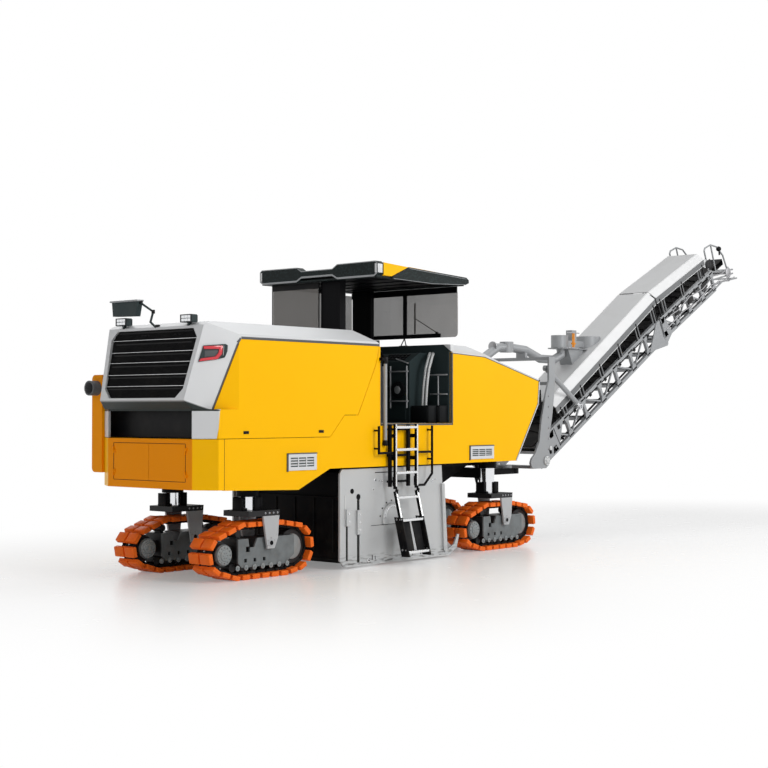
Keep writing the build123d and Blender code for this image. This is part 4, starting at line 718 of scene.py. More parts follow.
# ------------------------------------------------------------------ undercarriage
@dataclass
class Undercarriage:
    """One steered track: chain, pads, hub, rollers and its lifting column."""

    end: str
    side: Side
    middle: float  # ahead of the bumper
    gauge: float = 1.386
    width: float = 0.37
    pads: int = 24
    pad_height: float = 0.05
    chain_height: float = 0.045
    column: float = -0.095
    wheels: tuple = (  # ahead of the middle, height and radius; sprocket and idler first
        (-0.654, 0.326, 0.161), (0.6, 0.345, 0.215), (0.33, 0.558, 0.047), (-0.33, 0.558, 0.047),
        (0.43, 0.15, 0.055), (-0.43, 0.15, 0.055))
    teeth: int = 20
    rollers: int = 7
    fork_head: tuple = (0.764, 0.838)  # foot and top of the black fork head

    @property
    def corner(self) -> str:
        """Corner of the machine that the track stands at."""
        return f"{self.end}_{self.side.word}"

    @property
    def body(self) -> str:
        """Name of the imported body."""
        return f"undercarriage_{self.corner}"

    @property
    def y(self) -> float:
        """Middle of the track across the machine."""
        return self.side.value * self.gauge / 2

    def loop(self, extra: float, count: int) -> list[Place]:
        """Places round the chain.

        Args:
            extra: distance outside the wheels.
            count: how many places, evenly spaced.

        Returns:
            Offset along the track, height and heading of each place.
        """
        points = [(a + (r + extra) * math.cos(t), z + (r + extra) * math.sin(t))
                  for a, z, r in self.wheels for t in (math.radians(3 * i) for i in range(120))]
        flat = bmesh.new()
        verts = [flat.verts.new((a, 0, z)) for a, z in points]
        tip = [flat.verts.new((a, 1, z)) for a, z in points[:1]]
        bmesh.ops.convex_hull(flat, input=verts + tip)
        rim = sorted(((v.co.x, v.co.z) for v in flat.verts if v.co.y < 0.5 and v.link_faces),
                     key=lambda p: math.atan2(p[1] - 0.3, p[0]))
        flat.free()
        lengths = [math.dist(a, b) for a, b in zip(rim, rim[1:] + rim[:1])]
        step, places, run, index = sum(lengths) / count, [], 0.0, 0
        for number in range(count):
            while run + lengths[index] < number * step:
                run += lengths[index]
                index += 1
            first, last = rim[index], rim[(index + 1) % len(rim)]
            share = (number * step - run) / lengths[index]
            heading = math.atan2(last[1] - first[1], last[0] - first[0])
            along, height = (a + (b - a) * share for a, b in zip(first, last))
            places.append((along, height, heading))
        self.pitch = step
        return places

    def build(self, look: Finishes) -> None:
        """Add the track's pieces and dress its nodes."""
        chain, pads = Form(), Form()
        for offset, height, heading in self.loop(self.chain_height, self.pads):
            place = Matrix.Translation(point(self.middle + offset, self.y, height))
            turn = place @ Matrix.Rotation(math.pi - heading, 4, "Y")
            self.pad(pads, turn)
            self.link(chain, turn)
        node = f"track_{self.corner}"
        blocks = pads.piece(f"{node}_pads", self.body, look.orange, Slot.PADS)
        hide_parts(node)
        chain.piece(f"{node}_chain", self.body, look.dark, Slot.DARK)
        self.hub(look)
        self.guides(look)
        dress(f"leg_{self.corner}", self.leg_finish())

    def pad(self, form: Form, turn: Matrix) -> None:
        """Add one pad with its raised ends and the groove between them."""
        half, wide = self.pitch * 0.39, self.width / 2
        form.box((-half, -wide, -0.012), (half, wide, 0.022), 0.005, 1, turn)
        for low, high in ((-wide, -0.012), (0.012, wide)):
            form.box((-half, low, 0.012), (half, high, self.pad_height), 0.012, 2, turn)

    def link(self, form: Form, turn: Matrix) -> None:
        """Add one pair of chain links with its pin."""
        half = self.pitch * 0.5
        for sign in (-1, 1):
            low, high = sorted((sign * 0.055, sign * 0.085))
            form.box((-half * 0.98, low, -0.045), (half * 0.98, high, -0.004), 0.006, 1, turn)
        form.rod(turn @ Vector((half * 0.7, -0.095, -0.026)), turn @ Vector((half * 0.7, 0.095, -0.026)),
                 0.017, 12)

    def hub(self, look: Finishes) -> None:
        """Add the hub, idler and roller caps on both sides, and the sprocket's teeth."""
        offset, height, radius = self.wheels[0]
        x = ahead(self.middle + offset)
        caps, teeth = Form(), Form()
        for sign in (-1, 1):
            face = self.y + sign * 0.165
            out = Vector((0, sign, 0))
            centre = Vector((x, face, height))
            caps.rod(centre, centre + out * 0.018, 0.118, 40, 0.006)
            caps.rod(centre, centre + out * 0.03, 0.07, 32, 0.008)
            caps.bolts(ring(centre + out * 0.018, 0.095, 12), out, 0.0085, 0.01)
            caps.bolts(ring(centre + out * 0.03, 0.035, 6), out, 0.006, 0.006)
            idler = self.wheels[1]
            place = Vector(point(self.middle + idler[0], self.y + sign * 0.075, idler[1]))
            caps.rod(place, place + out * 0.02, 0.16, 40, 0.006)
            caps.rod(place, place + out * 0.05, 0.055, 24, 0.006)
            for index in range(self.rollers):
                roller = ahead(self.middle - 0.43 + index * 0.86 / (self.rollers - 1))
                place = Vector((roller, self.y + sign * 0.165, 0.15))
                caps.rod(place, place + out * 0.012, 0.034, 20, 0.004)
                caps.rod(place, place + out * 0.02, 0.012, 6)
        for index in range(self.teeth):
            angle = math.radians(360 / self.teeth * index)
            arm = Vector((math.cos(angle), 0, math.sin(angle)))
            root = Vector((x, self.y, height)) + arm * (radius - 0.03)
            turn = Matrix.Translation(root) @ arm.to_track_quat("Z", "Y").to_matrix().to_4x4()
            teeth.box((-0.012, -0.028, 0), (0.012, 0.028, 0.05), 0.005, 1, turn)
        caps.piece(f"hub_{self.corner}", self.body, look.hub, Slot.LEG)
        teeth.piece(f"sprocket_{self.corner}", self.body, look.steel, Slot.CHROME)

    def leg_finish(self) -> Material:
        """Grey roller frame darkened to near black in its middle as painted shade, pale fork arms, black fork
        head and a chromed column above it.
        """
        shader = Shader(f"leg_{self.corner}_finish")
        foot, top = self.fork_head
        rod = shader.z.above(top, 0.001)
        head = shader.z.above(foot, 0.001) * (1 - rod)
        arm = abs(shader.y - self.y).above(0.178, 0.002) * (1 - shader.z.above(foot, 0.001))
        # Painted shade: the frame's middle, between its side plates, is darkened to near black.
        inner_shade = 1 - abs(shader.y - self.y).above(0.14, 0.004)
        grime = shader.spots(6.0, 0.4, 0.72) * (1 - rod)
        frame = shader.mix(grime * 0.5, (0.16, 0.175, 0.18), (0.05, 0.05, 0.048))
        frame = shader.mix(inner_shade, frame, (0.012, 0.012, 0.013))
        colour = shader.mix(arm, frame, (0.42, 0.43, 0.44))
        colour = shader.mix(head, colour, (0.007, 0.007, 0.008))
        colour = shader.mix(rod, colour, (0.8, 0.81, 0.83))
        streak = shader.noise(40.0, 3.0, (1, 1, 12))
        return shader.finish(
            Base_Color=colour, Metallic=rod * 0.85 + 0.1, Roughness=(1 - rod) * 0.32 + 0.1 + grime * 0.1,
            Specular_IOR_Level=0.3, Normal=shader.bump(streak, 0.08, 0.001, shader.rounded(0.006)))

    def guides(self, look: Finishes) -> None:
        """Add the black guide bars beside the column, and the fork's pin and bolts."""
        axis = ahead(self.middle + self.column)
        bars, bolts = Form(), Form()
        out = self.side.value
        y0, y1 = sorted((self.y + out * 0.03, self.y - out * 0.062))
        bars.box((axis - 0.15, y0, 0.833), (axis - 0.112, y1, 1.0), 0.005)
        bars.box((axis - 0.17, self.y - 0.1, 0.833), (axis - 0.108, self.y + 0.1, 0.862), 0.006)
        y0, y1 = sorted((self.y + out * 0.112, self.y + out * 0.135))
        bars.box((axis - 0.01, y0, 0.833), (axis + 0.075, y1, 1.0), 0.005)
        bars.box((axis + 0.112, self.y - 0.075, 0.833), (axis + 0.185, self.y + 0.075, 1.0), 0.006)
        bars.box((axis - 0.188, self.y - 0.075, 0.833), (axis - 0.156, self.y + 0.075, 1.0), 0.006)
        pin = ahead(self.middle + 0.095)
        for sign in (-1, 1):
            face = self.y + sign * 0.221
            spot = Vector((pin, face + sign * 0.006, 0.43))
            bars.rod(spot, spot + Vector((0, sign * 0.004, 0)), 0.028, 24)
            places = [(pin + 0.062 * math.cos(t), face, 0.43 + 0.062 * math.sin(t))
                      for t in (math.radians(60 * i + 30) for i in range(6) if i not in (4, 5))]
            bolts.bolts(places, (0, sign, 0), 0.006, 0.006)
            bolts.bolts([(pin + a, face, 0.8) for a in (-0.1, -0.03, 0.04, 0.11)], (0, sign, 0), 0.009)
        bars.piece(f"guide_{self.corner}", self.body, look.black, Slot.BLACK)
        bolts.piece(f"fork_bolts_{self.corner}", self.body, look.steel, Slot.DARK)


# ------------------------------------------------------------------ bodywork
@dataclass
class RearHood:
    """Grille, lamps, mirror and seams of the tilting hood."""

    body: str = "hood"
    face_low: tuple = (-0.13, 2.19)  # ahead and height of the leaning face's lower edge
    face_high: tuple = (0.096, 3.083)
    opening: tuple = ((2.215, 0.61), (2.325, 0.72), (2.94, 0.79), (3.05, 0.7))  # height and half width
    bars: tuple = (2.36, 2.5, 2.65, 2.78, 2.93)  # heights
    ribs: int = 37  # to each side of the middle one
    vents: tuple = (-0.46, -0.38, 0.1, 0.16, 0.22)  # across
    corner: tuple = (-0.131, 0.77)  # ahead and half width where the angled corners start
    corner_end: tuple = (0.5, 1.05)
    lens: tuple = (  # along the corner, and height
        (0.24, 2.828), (0.48, 2.838), (0.471, 2.74), (0.415, 2.676), (0.18, 2.644), (0.206, 2.68),
        (0.385, 2.706), (0.424, 2.75), (0.433, 2.796), (0.24, 2.792))
    insert: tuple = ((0.254, 2.776), (0.423, 2.78), (0.416, 2.748), (0.382, 2.706), (0.254, 2.698))
    # The rim is a thin silver strip of painted highlight on the lamp's dark housing.
    rim: tuple = ((0.492, 2.841), (0.497, 2.841), (0.49, 2.736), (0.483, 2.714))
    seam: tuple = (  # ahead, and height
        (0.191, 2.049), (0.489, 2.86), (0.497, 2.87), (0.506, 2.881), (0.515, 2.892), (0.527, 2.907),
        (0.54, 2.922), (3.088, 2.922))
    latch_places: tuple = ((0.62, 1.8), (1.95, 1.8))  # ahead, and height
    lamp_y: float = 0.6
    fins: int = 9
    mirror_corners: tuple = ((0.3, 3.405), (0.728, 3.405), (0.712, 3.255), (0.335, 3.248))

    def face(self, z: float) -> float:
        """Place ahead of the leaning face at a height."""
        (a0, z0), (a1, z1) = self.face_low, self.face_high
        return a0 + (a1 - a0) * (z - z0) / (z1 - z0)

    def half(self, z: float) -> float:
        """Half width of the opening at a height."""
        for (z0, y0), (z1, y1) in zip(self.opening, self.opening[1:]):
            if z0 <= z <= z1:
                return y0 + (y1 - y0) * (z - z0) / (z1 - z0)
        return 0.0

    def on_corner(self, side: int, along: float, z: float, out: float) -> Place:
        """Place on an angled corner, so far along it and out of it."""
        (a0, y0), (a1, y1) = self.corner, self.corner_end
        run = Vector((a1 - a0, y1 - y0)).normalized()
        a, y = a0 + run.x * along - run.y * out, y0 + run.y * along + run.x * out
        return point(a, side * y, z)

    def outward(self, side: int, reach: float) -> Vector:
        """Step straight out of an angled corner."""
        return Vector(self.on_corner(side, 0, 0, reach)) - Vector(self.on_corner(side, 0, 0, 0))

    def skin(self, side: int, a: float, z: float) -> Place:
        """Place on the hood's side or angled corner, just off its paint."""
        (a0, y0), (a1, y1) = self.corner, self.corner_end
        return point(a, side * (min(y1, y0 + (y1 - y0) * (a - a0) / (a1 - a0)) + 0.0003), z)

    def build(self, look: Finishes) -> None:
        """Add the hood's pieces."""
        self.grille(look)
        self.tail_lamps(look)
        self.work_lamps(look)
        self.mirror(look)
        self.seams(look)

    def grille(self, look: Finishes) -> None:
        """Add the bright bars, the upright ribs behind them and the vents along the top."""
        bars, ribs = Form(), Form()
        for z in self.bars:
            wide = self.half(z) - 0.004
            at = ahead(self.face(z))
            bars.box((at + 0.008, -wide, z - 0.003), (at + 0.018, wide, z + 0.003), 0.0015, 1)
        low, high = 2.23, 3.035
        for index in range(-self.ribs, self.ribs + 1):
            y = index * 0.02
            top = min(high, 3.04 - max(0.0, abs(y) - 0.7))
            bottom = max(low, 2.225 + max(0.0, abs(y) - 0.61))
            outline = [point(self.face(z) + d, y - 0.0025, z)
                       for z, d in ((bottom, 0.022), (bottom, 0.038), (top, 0.038), (top, 0.022))]
            ribs.slab(outline, (0, 0.005, 0))
        z = 2.985
        at = ahead(self.face(z) + 0.014)
        for y in self.vents:
            ribs.box((at, y - 0.022, z - 0.006), (at + 0.01, y + 0.022, z + 0.004), 0.002, 1)
        bars.piece("grille_bars", self.body, look.bright, Slot.GRILLE)
        ribs.piece("grille_ribs", self.body, look.plastic, Slot.GRILLE)

    def tail_lamps(self, look: Finishes) -> None:
        """Add the hooked red lens, the grey insert that it holds and the thin rim, a silver strip of painted
        highlight, on both corners.
        """
        parts = (("lens", self.lens, 0.01, 0.018, 0.005, look.lens_red),
                 ("insert", self.insert, 0.01, 0.009, 0.002, look.groove),
                 ("rim", self.rim, 0.012, 0.007, 0.0, look.silver))
        for side in Side:
            out = self.outward(side.value, 1)
            for name, outline, start, thick, bevel, finish in parts:
                form = Form()
                form.slab([self.on_corner(side.value, a, z, start) for a, z in outline], out * thick, bevel)
                form.piece(f"tail_{name}_{side.word}", self.body, finish, Slot.LAMP)

    def work_lamps(self, look: Finishes) -> None:
        """Add bezels, six lens cells and cooling fins to the two work lamps."""
        lens, shell = Form(), Form()
        for middle in (-self.lamp_y, self.lamp_y):
            for row in range(2):
                for column in range(3):
                    y = middle - 0.056 + column * 0.056
                    z = 3.1675 - 0.02 + row * 0.04
                    lens.box(point(0.052, y - 0.024, z - 0.017), point(0.064, y + 0.024, z + 0.017), 0.004)
            for low, high in (((0.048, -0.095, 3.12), (0.064, 0.095, 3.129)),
                              ((0.048, -0.095, 3.206), (0.064, 0.095, 3.215)),
                              ((0.048, -0.095, 3.12), (0.064, -0.086, 3.215)),
                              ((0.048, 0.086, 3.12), (0.064, 0.095, 3.215))):
                shell.box(point(low[0], middle + low[1], low[2]), point(high[0], middle + high[1], high[2]),
                          0.002)
            for fin in range(self.fins):
                y = middle - 0.08 + fin * 0.02
                shell.box(point(0.148, y - 0.003, 3.128), point(0.172, y + 0.003, 3.207), 0.001, 1)
            shell.rod(point(0.115, middle - 0.035, 3.125), point(0.115, middle + 0.035, 3.125), 0.012)
        lens.piece("work_lamp_lenses", self.body, look.lens_white, Slot.LAMP)
        shell.piece("work_lamp_shells", self.body, look.plastic, Slot.LAMP)

    def mirror(self, look: Finishes) -> None:
        """Add the pale lip, the glass and the clamps of the mirror."""
        lip, glass, clamp = Form(), Form(), Form()
        lip.box(point(0.012, 0.246, 3.412), point(0.128, 0.774, 3.434), 0.008)
        glass.slab([point(0.119, y, z) for y, z in self.mirror_corners], (0.006, 0, 0), 0.003)
        clamp.box(point(0.068, 0.245, 3.385), point(0.112, 0.3, 3.425), 0.006)
        clamp.rod(point(0.09, 0.03, 3.252), point(0.09, 0.03, 3.298), 0.022)
        clamp.rod(point(0.108, -0.03, 3.085), point(0.108, -0.03, 3.112), 0.03)
        lip.piece("mirror_lip", self.body, look.conveyor, Slot.DARK)
        glass.piece("mirror_glass", self.body, look.chrome, Slot.CHROME)
        clamp.piece("mirror_clamps", self.body, look.plastic, Slot.DARK)

    def seams(self, look: Finishes) -> None:
        """Add the grooves between the silver and the painted sides, their dark lines and the latches."""
        groove, line, latches = Form(), Form(), Form()
        for side in Side:
            out = self.outward(side.value, 0.0025)
            for start, end in zip(self.seam, self.seam[1:]):
                angled = end[0] < self.corner_end[0]
                near, far = (-0.002, 0.014) if angled else (0.0, 0.03)
                groove.slab([self.skin(side.value, a, z) for a, z in strip(start, end, near, far)], out)
                if angled:
                    line.slab([self.skin(side.value, a, z) for a, z in strip(start, end, -0.01, -0.002)],
                              out)
            face = side.value * SIDE_FACE
            for a, z in self.latch_places:
                y0, y1 = sorted((face, face + side.value * 0.008))
                latches.box(point(a - 0.045, y0, z - 0.018), point(a + 0.045, y1, z + 0.018), 0.004)
                latches.rod(point(a + 0.02, face, z), point(a + 0.02, face + side.value * 0.012, z), 0.01)
        groove.piece("hood_grooves", self.body, look.groove, Slot.DARK)
        line.piece("hood_seam_lines", self.body, look.line, Slot.DARK)
        latches.piece("hood_latches", self.body, look.plastic, Slot.DARK)


@dataclass
class Bumper:
    """Seams of the rear service doors and of the bumper's sides."""

    door_half: float = 0.66
    door_z: tuple = (1.216, 1.664)
    gap: float = 0.007
    side_seam: tuple = ((0.262, 1.12), (0.268, 1.12), (0.268, 1.724), (0.262, 1.724))  # ahead, and height

    def build(self, look: Finishes) -> None:
        """Add the door outlines on the bumper and the seams behind it."""
        line, seam = Form(), Form()
        half, gap, (z0, z1) = self.door_half, self.gap, self.door_z
        edge = ahead(0.0)
        for side in Side:
            for across, low, high in (((half, half + gap), z0, z1), ((0.0, half), z0 - gap, z0),
                                      ((0.0, half), z1, z1 + gap)):
                y0, y1 = sorted(side.value * y for y in across)
                line.box((edge - 0.0012, y0, low), (edge + 0.001, y1, high))
            outline = [point(a, side.value * SIDE_SKIN, z) for a, z in self.side_seam]
            seam.slab(outline, (0, side.value * 0.0015, 0))
        line.piece("bumper_seams", "machine", look.line, Slot.DARK)
        seam.piece("bumper_side_seams", "machine", look.line, Slot.DARK)


@dataclass
class FrontBody:
    """Borders of the front panels, and the lamp inserts of the sides."""

    border: tuple = ((4.69, 2.905), (5.463, 2.87), (6.88, 2.537), (6.845, 2.165), (6.267, 1.318))
    inserts: tuple = (  # limits ahead and in height, and the sides that have one
        ((1.333, 1.855), (1.317, 1.523), (-1,)), ((5.092, 5.665), (1.367, 1.554), (-1, 1)))
    ribs: int = 4
    inset: float = 0.052
    lip: float = 0.012

    def build(self, look: Finishes) -> None:
        """Add the pale border with its dark line, and the lamp inserts."""
        pale, dark = Form(), Form()
        for side in Side:
            y, out = side.value * SIDE_SKIN, (0, side.value * 0.003, 0)
            for start, end in zip(self.border, self.border[1:]):
                for form, near, far in ((pale, -0.001, -0.02), (dark, -0.02, -0.03)):
                    form.slab([point(a, y, z) for a, z in strip(start, end, near, far)], out)
        pale.piece("front_border", "machine", look.silver, Slot.SILVER)
        dark.piece("front_border_line", "machine", look.groove, Slot.DARK)
        self.lamp_inserts(look)

    def lamp_inserts(self, look: Finishes) -> None:
        """Add the ribs and the raised frame of each lamp insert."""
        ribs, frames, lip, inset = Form(), Form(), self.lip, self.inset
        for (a0, a1), (z0, z1), sides in self.inserts:
            for side in sides:
                y0, y1 = sorted((side * 1.056, side * 1.0635))
                for index in range(self.ribs):
                    z = z0 + inset + index * (z1 - z0 - 2 * inset) / (self.ribs - 1)
                    ribs.box(point(a0 + inset, y0, z - 0.007), point(a1 - inset, y1, z + 0.007), 0.002, 1)
                y0, y1 = sorted((side * SIDE_FACE, side * 1.0662))
                for low, high in (((a0 - lip, z0 - lip), (a0 + lip, z1 + lip)),
                                  ((a0 - lip, z1 - 0.004), (a1 + lip, z1 + lip))):
                    frames.box(point(low[0], y0, low[1]), point(high[0], y1, high[1]), 0.003, 1)
        ribs.piece("insert_ribs", "machine", look.housing, Slot.DARK)
        frames.piece("insert_frames", "machine", look.groove, Slot.DARK)


@dataclass
class Canopy:
    """Rims, linings, screens and wiper of the canopy."""

    rear: float = 2.99
    half: float = 1.1
    top: float = 4.06
    low: float = 3.87
    waist: tuple = (0.29, 0.38)  # half widths of the rear band's narrow middle
    # Thin light lines along the roof's sides: painted highlights.
    upper_highlight: tuple = ((3.66, 4.006), (4.95, 3.95), (4.95, 3.944), (3.67, 3.999))  # ahead, and height
    lower_highlight: tuple = (
        (3.33, 3.846), (4.17, 3.832), (4.92, 3.866), (4.92, 3.86), (4.17, 3.826), (3.33, 3.84))
    roof_ribs: tuple = (3.45, 3.85, 4.25, 4.62)  # ahead

    def build(self, look: Finishes) -> None:
        """Add all the canopy's pieces."""
        self.band(look)
        self.lining(look)
        self.highlight_lines(look)
        self.screens(look)

    def band(self, look: Finishes) -> None:
        """Add the rear band's rim and its pale end caps."""
        rim, cap, half, (inner, outer) = Form(), Form(), self.half, self.waist
        upper = [(half, self.top - 0.03), (half - 0.04, self.top), (outer, self.top - 0.004),
                 (inner, self.top - 0.06)]
        upper = [(-y, z) for y, z in upper] + upper[::-1]
        under = [(half, self.low + 0.02), (half - 0.06, self.low - 0.02), (outer, self.low - 0.02),
                 (inner, self.low + 0.03)]
        under = under + [(-y, z) for y, z in under[::-1]]
        at = ahead(self.rear)
        for line, drop in ((upper, -0.012), (under, 0.026)):
            for (y0, z0), (y1, z1) in zip(line, line[1:]):
                corners = ((y0, z0), (y1, z1), (y1, z1 + drop), (y0, z0 + drop))
                rim.slab([(at - 0.0005, y, z) for y, z in corners], (0.006, 0, 0))
        rim.piece("canopy_rim", "machine", look.conveyor, Slot.DARK)
        for side in Side:
            y0, y1 = sorted((side.value * (half - 0.052), side.value * (half + 0.0005)))
            cap.box((at - 0.0012, y0, self.low + 0.022), (at + 0.118, y1, self.top - 0.028), 0.012)
        cap.piece("canopy_end_caps", "machine", look.silver, Slot.SILVER)

    def lining(self, look: Finishes) -> None:
        """Add the black plate behind the band's middle, and the ribbed lining under the roof."""
        form, at, low = Form(), ahead(self.rear), self.low
        form.box((at + 0.12, -0.45, low - 0.01), (at + 0.1298, 0.45, low + 0.06))
        form.box(point(3.13, -0.975, low - 0.012), point(4.83, 0.975, low - 0.001), 0.004)
        for a in self.roof_ribs:
            form.box(point(a - 0.02, -0.96, low - 0.024), point(a + 0.02, 0.96, low - 0.01), 0.004)
        form.piece("canopy_lining", "machine", look.black, Slot.BLACK)

    def highlight_lines(self, look: Finishes) -> None:
        """Add the two thin light lines along each side of the roof, painted highlights along its edges."""
        form = Form()
        for side in Side:
            y = side.value * (self.half + 0.0003)
            for outline in (self.upper_highlight, self.lower_highlight):
                form.slab([point(a, y, z) for a, z in outline], (0, -side.value * 0.004, 0))
        form.piece("canopy_highlight_lines", "machine", look.conveyor, Slot.GREY)

    def screens(self, look: Finishes) -> None:
        """Add gaskets and stays round the screens, the wiper, a side pane and the reading lamps."""
        gasket = Form()
        gasket.box(point(3.133, 0.086, 3.003), point(3.149, 0.1, 3.845), 0.003, 1)
        gasket.box(point(3.133, 0.09, 3.76), point(3.15, 1.0, 3.845), 0.003, 1)
        gasket.box(point(3.133, 0.986, 3.003), point(3.149, 1.001, 3.845), 0.003, 1)
        gasket.box(point(3.168, 0.985, 3.8), point(4.632, 1.0005, 3.845), 0.003, 1)
        gasket.rod(point(4.846, -0.04, 3.125), point(4.846, -0.07, 3.02), 0.008, 10)
        gasket.rod(point(4.846, -0.04, 3.125), point(4.846, 0.03, 3.015), 0.008, 10)
        gasket.box(point(4.83, -0.095, 3.005), point(4.86, 0.055, 3.022), 0.004)
        gasket.piece("screen_gaskets", "machine", look.plastic, Slot.BLACK)
        wiper = Form()
        wiper.rod(point(4.886, -0.62, 3.19), point(4.886, -0.18, 3.43), 0.007, 8)
        wiper.box(point(4.882, -0.22, 3.19), point(4.89, -0.19, 3.64), 0.003, 1)
        wiper.rod(point(4.86, -0.62, 3.19), point(4.895, -0.62, 3.19), 0.018, 12)
        wiper.piece("screen_wiper", "machine", look.plastic, Slot.BLACK)
        pane = Form()
        pane.box(point(4.634, 0.988, 3.003), point(4.844, 1.0, 3.8), 0.002, 1)
        pane.piece("left_front_pane", "machine", look.glass, Slot.BLACK)
        lamp = Form()
        for y in (0.3, 0.4):
            lamp.box(point(3.15, y - 0.022, 3.853), point(3.172, y + 0.022, 3.868), 0.003, 1)
        lamp.piece("canopy_lamps", "machine", look.lens_white, Slot.LAMP)


# ------------------------------------------------------------------ stand, ladders and milling gear
@dataclass
class Stand:
    """Rails, boxes, hoses, floor and desk of the operator's stand, as seen through the way in."""

    back: float = 3.114
    front: float = 4.68
    floor: float = 1.89
    posts: tuple = (  # ahead, across, foot and top
        (4.622, -0.845, 2.14, 2.56), (4.215, -0.6, 2.1, 2.7), (4.215, -0.3, 2.1, 2.7))
    boxes: tuple = (  # lowest and highest corner
        ((4.262, -0.955, 1.892), (4.44, -0.64, 2.137)), ((4.455, -1.0, 1.892), (4.644, -0.69, 2.14)))
    hose: tuple = (
        (4.648, -0.675, 2.885), (4.52, -0.76, 2.84), (4.43, -0.77, 2.66), (4.4, -0.755, 2.4),
        (4.395, -0.74, 2.13))
    tread: tuple = (20, 9)  # rows and columns
    cushions: tuple = (  # lowest and highest corner
        ((3.375, 0.285, 2.455), (3.865, 0.755, 2.545)), ((3.335, 0.295, 2.52), (3.455, 0.745, 3.045)))

    def build(self, look: Finishes) -> None:
        """Add everything that shows through the way in."""
        self.door_frame(look)
        self.services(look)
        self.hoses(look)
        self.floor_plate(look)
        self.desk(look)

    def door_frame(self, look: Finishes) -> None:
        """Add the silver corner above the way in and the frame round it."""
        frame, corner = Form(), Form()
        y0, y1, low = -1.0515, -1.012, self.floor - 0.028
        start, end = self.back - 0.002, self.front + 0.022
        frame.box(point(start, y0, low), point(end, y1, self.floor - 0.001), 0.003)
        frame.box(point(self.front, y0, low), point(end, y1, 2.892), 0.003)
        frame.box(point(start, y0, low), point(self.back + 0.02, y1, 2.7), 0.003)
        places = ((-0.915, 3.004), (-1.0495, 3.004), (-1.0495, 2.905))
        corner.slab([point(4.646, y, z) for y, z in places], (0.073, 0, 0), 0.004)
        corner.piece("front_corner", "machine", look.silver, Slot.SILVER)
        frame.piece("stand_door_frame", "machine", look.groove, Slot.DARK)

    def services(self, look: Finishes) -> None:
        """Add rails, boxes and a reel on the front wall and on the desk's rear face."""
        rails, boxes = Form(), Form()
        for z in (2.3, 2.575):
            rails.box(point(4.61, -1.005, z - 0.01), point(4.635, -0.7, z + 0.01), 0.003)
        for a, y, foot, top in self.posts:
            rails.rod(point(a, y, foot), point(a, y, top), 0.011, 10)
        for z in (2.2, 2.62):
            rails.box(point(4.205, -0.62, z - 0.01), point(4.235, -0.28, z + 0.01), 0.003)
        rails.rod(point(4.22, -0.62, 2.735), point(4.22, -0.4, 2.8), 0.009, 10)
        rails.rod(point(4.22, -0.16, 1.895), point(4.22, -0.16, 2.7), 0.02, 14)
        for (a0, y0, z0), (a1, y1, z1) in self.boxes:
            boxes.box(point(a0, y0, z0), point(a1, y1, z1), 0.012)
            boxes.box((ahead(a0) - 0.006, y0 + 0.02, z0 + 0.03), (ahead(a0) + 0.004, y1 - 0.02, z1 - 0.02),
                      0.005)
        boxes.rod(point(4.249, -0.44, 2.36), point(4.2, -0.44, 2.36), 0.12, 32, 0.01)
        rails.rod(point(4.2, -0.44, 2.36), point(4.193, -0.44, 2.36), 0.055, 24, 0.003)
        boxes.box(point(4.215, -0.26, 2.36), point(4.249, -0.02, 2.62), 0.012)
        rails.piece("stand_rails", "machine", look.conveyor, Slot.GREY)
        boxes.piece("stand_boxes", "machine", look.dark, Slot.DARK)

    def hoses(self, look: Finishes) -> None:
        """Add two ringed hoses down the front wall."""
        hose = Form()
        for shift in (0.0, 0.048):
            places = [Vector((ahead(a) + shift * 0.3, y - shift, z)) for a, y, z in self.hose]
            for start, end in zip(places, places[1:]):
                steps = max(2, int((end - start).length / 0.022))
                for index in range(steps):
                    spot = start.lerp(end, index / steps)
                    hose.rod(spot, spot + (end - start).normalized() * 0.012, 0.021, 12)
                hose.rod(start, end, 0.017, 10)
        hose.piece("stand_hoses", "machine", look.pale, Slot.GREY)

    def floor_plate(self, look: Finishes) -> None:
        """Add the tread bars of the floor."""
        tread, (rows, columns) = Form(), self.tread
        for row in range(rows):
            for column in range(columns):
                a = 3.24 + row * 0.07 + (0.035 if column % 2 else 0.0)
                y = -0.93 + column * 0.115
                tread.box(point(a - 0.02, y - 0.005, self.floor),
                          point(a + 0.02, y + 0.005, self.floor + 0.004))
        tread.piece("stand_tread", "machine", look.steel, Slot.DARK)

    def desk(self, look: Finishes) -> None:
        """Add the display, keys and joysticks, and the seat's cushions."""
        keys, screen, seat = Form(), Form(), Form()
        slope = Matrix.Translation(point(4.25, 0, 2.76)) @ Matrix.Rotation(-math.atan2(0.13, 0.23), 4, "Y")
        screen.box((0.04, 0.02, 0.001), (0.23, 0.34, 0.01), 0.006, 2, slope)
        for column in range(6):
            for row in range(3):
                low = (0.05 + row * 0.062, -0.5 + column * 0.07, 0.0)
                keys.box(low, (low[0] + 0.04, low[1] + 0.045, 0.014), 0.004, 2, slope)
        for y in (-0.06, 0.45, 0.7):
            keys.rod(slope @ Vector((0.12, y, 0.0)), slope @ Vector((0.12, y, 0.02)), 0.04, 20, 0.004)
            keys.rod(slope @ Vector((0.12, y, 0.0)), slope @ Vector((0.1, y, 0.11)), 0.012, 12, 0.0, 0.016)
            keys.ball(slope @ Vector((0.098, y, 0.118)), 0.024)
        for low, high in self.cushions:
            seat.box(point(*low), point(*high), 0.035, 4)
        for y in (0.245, 0.755):
            seat.box(point(3.42, y, 2.66), point(3.74, y + 0.05, 2.71), 0.02, 3)
            seat.rod(point(3.46, y + 0.025, 2.52), point(3.46, y + 0.025, 2.68), 0.014, 10)
        screen.piece("desk_display", "machine", look.plastic, Slot.BLACK)
        keys.piece("desk_controls", "machine", look.plastic, Slot.BLACK)
        seat.piece("seat_pads", "machine", look.seat, Slot.BLACK)


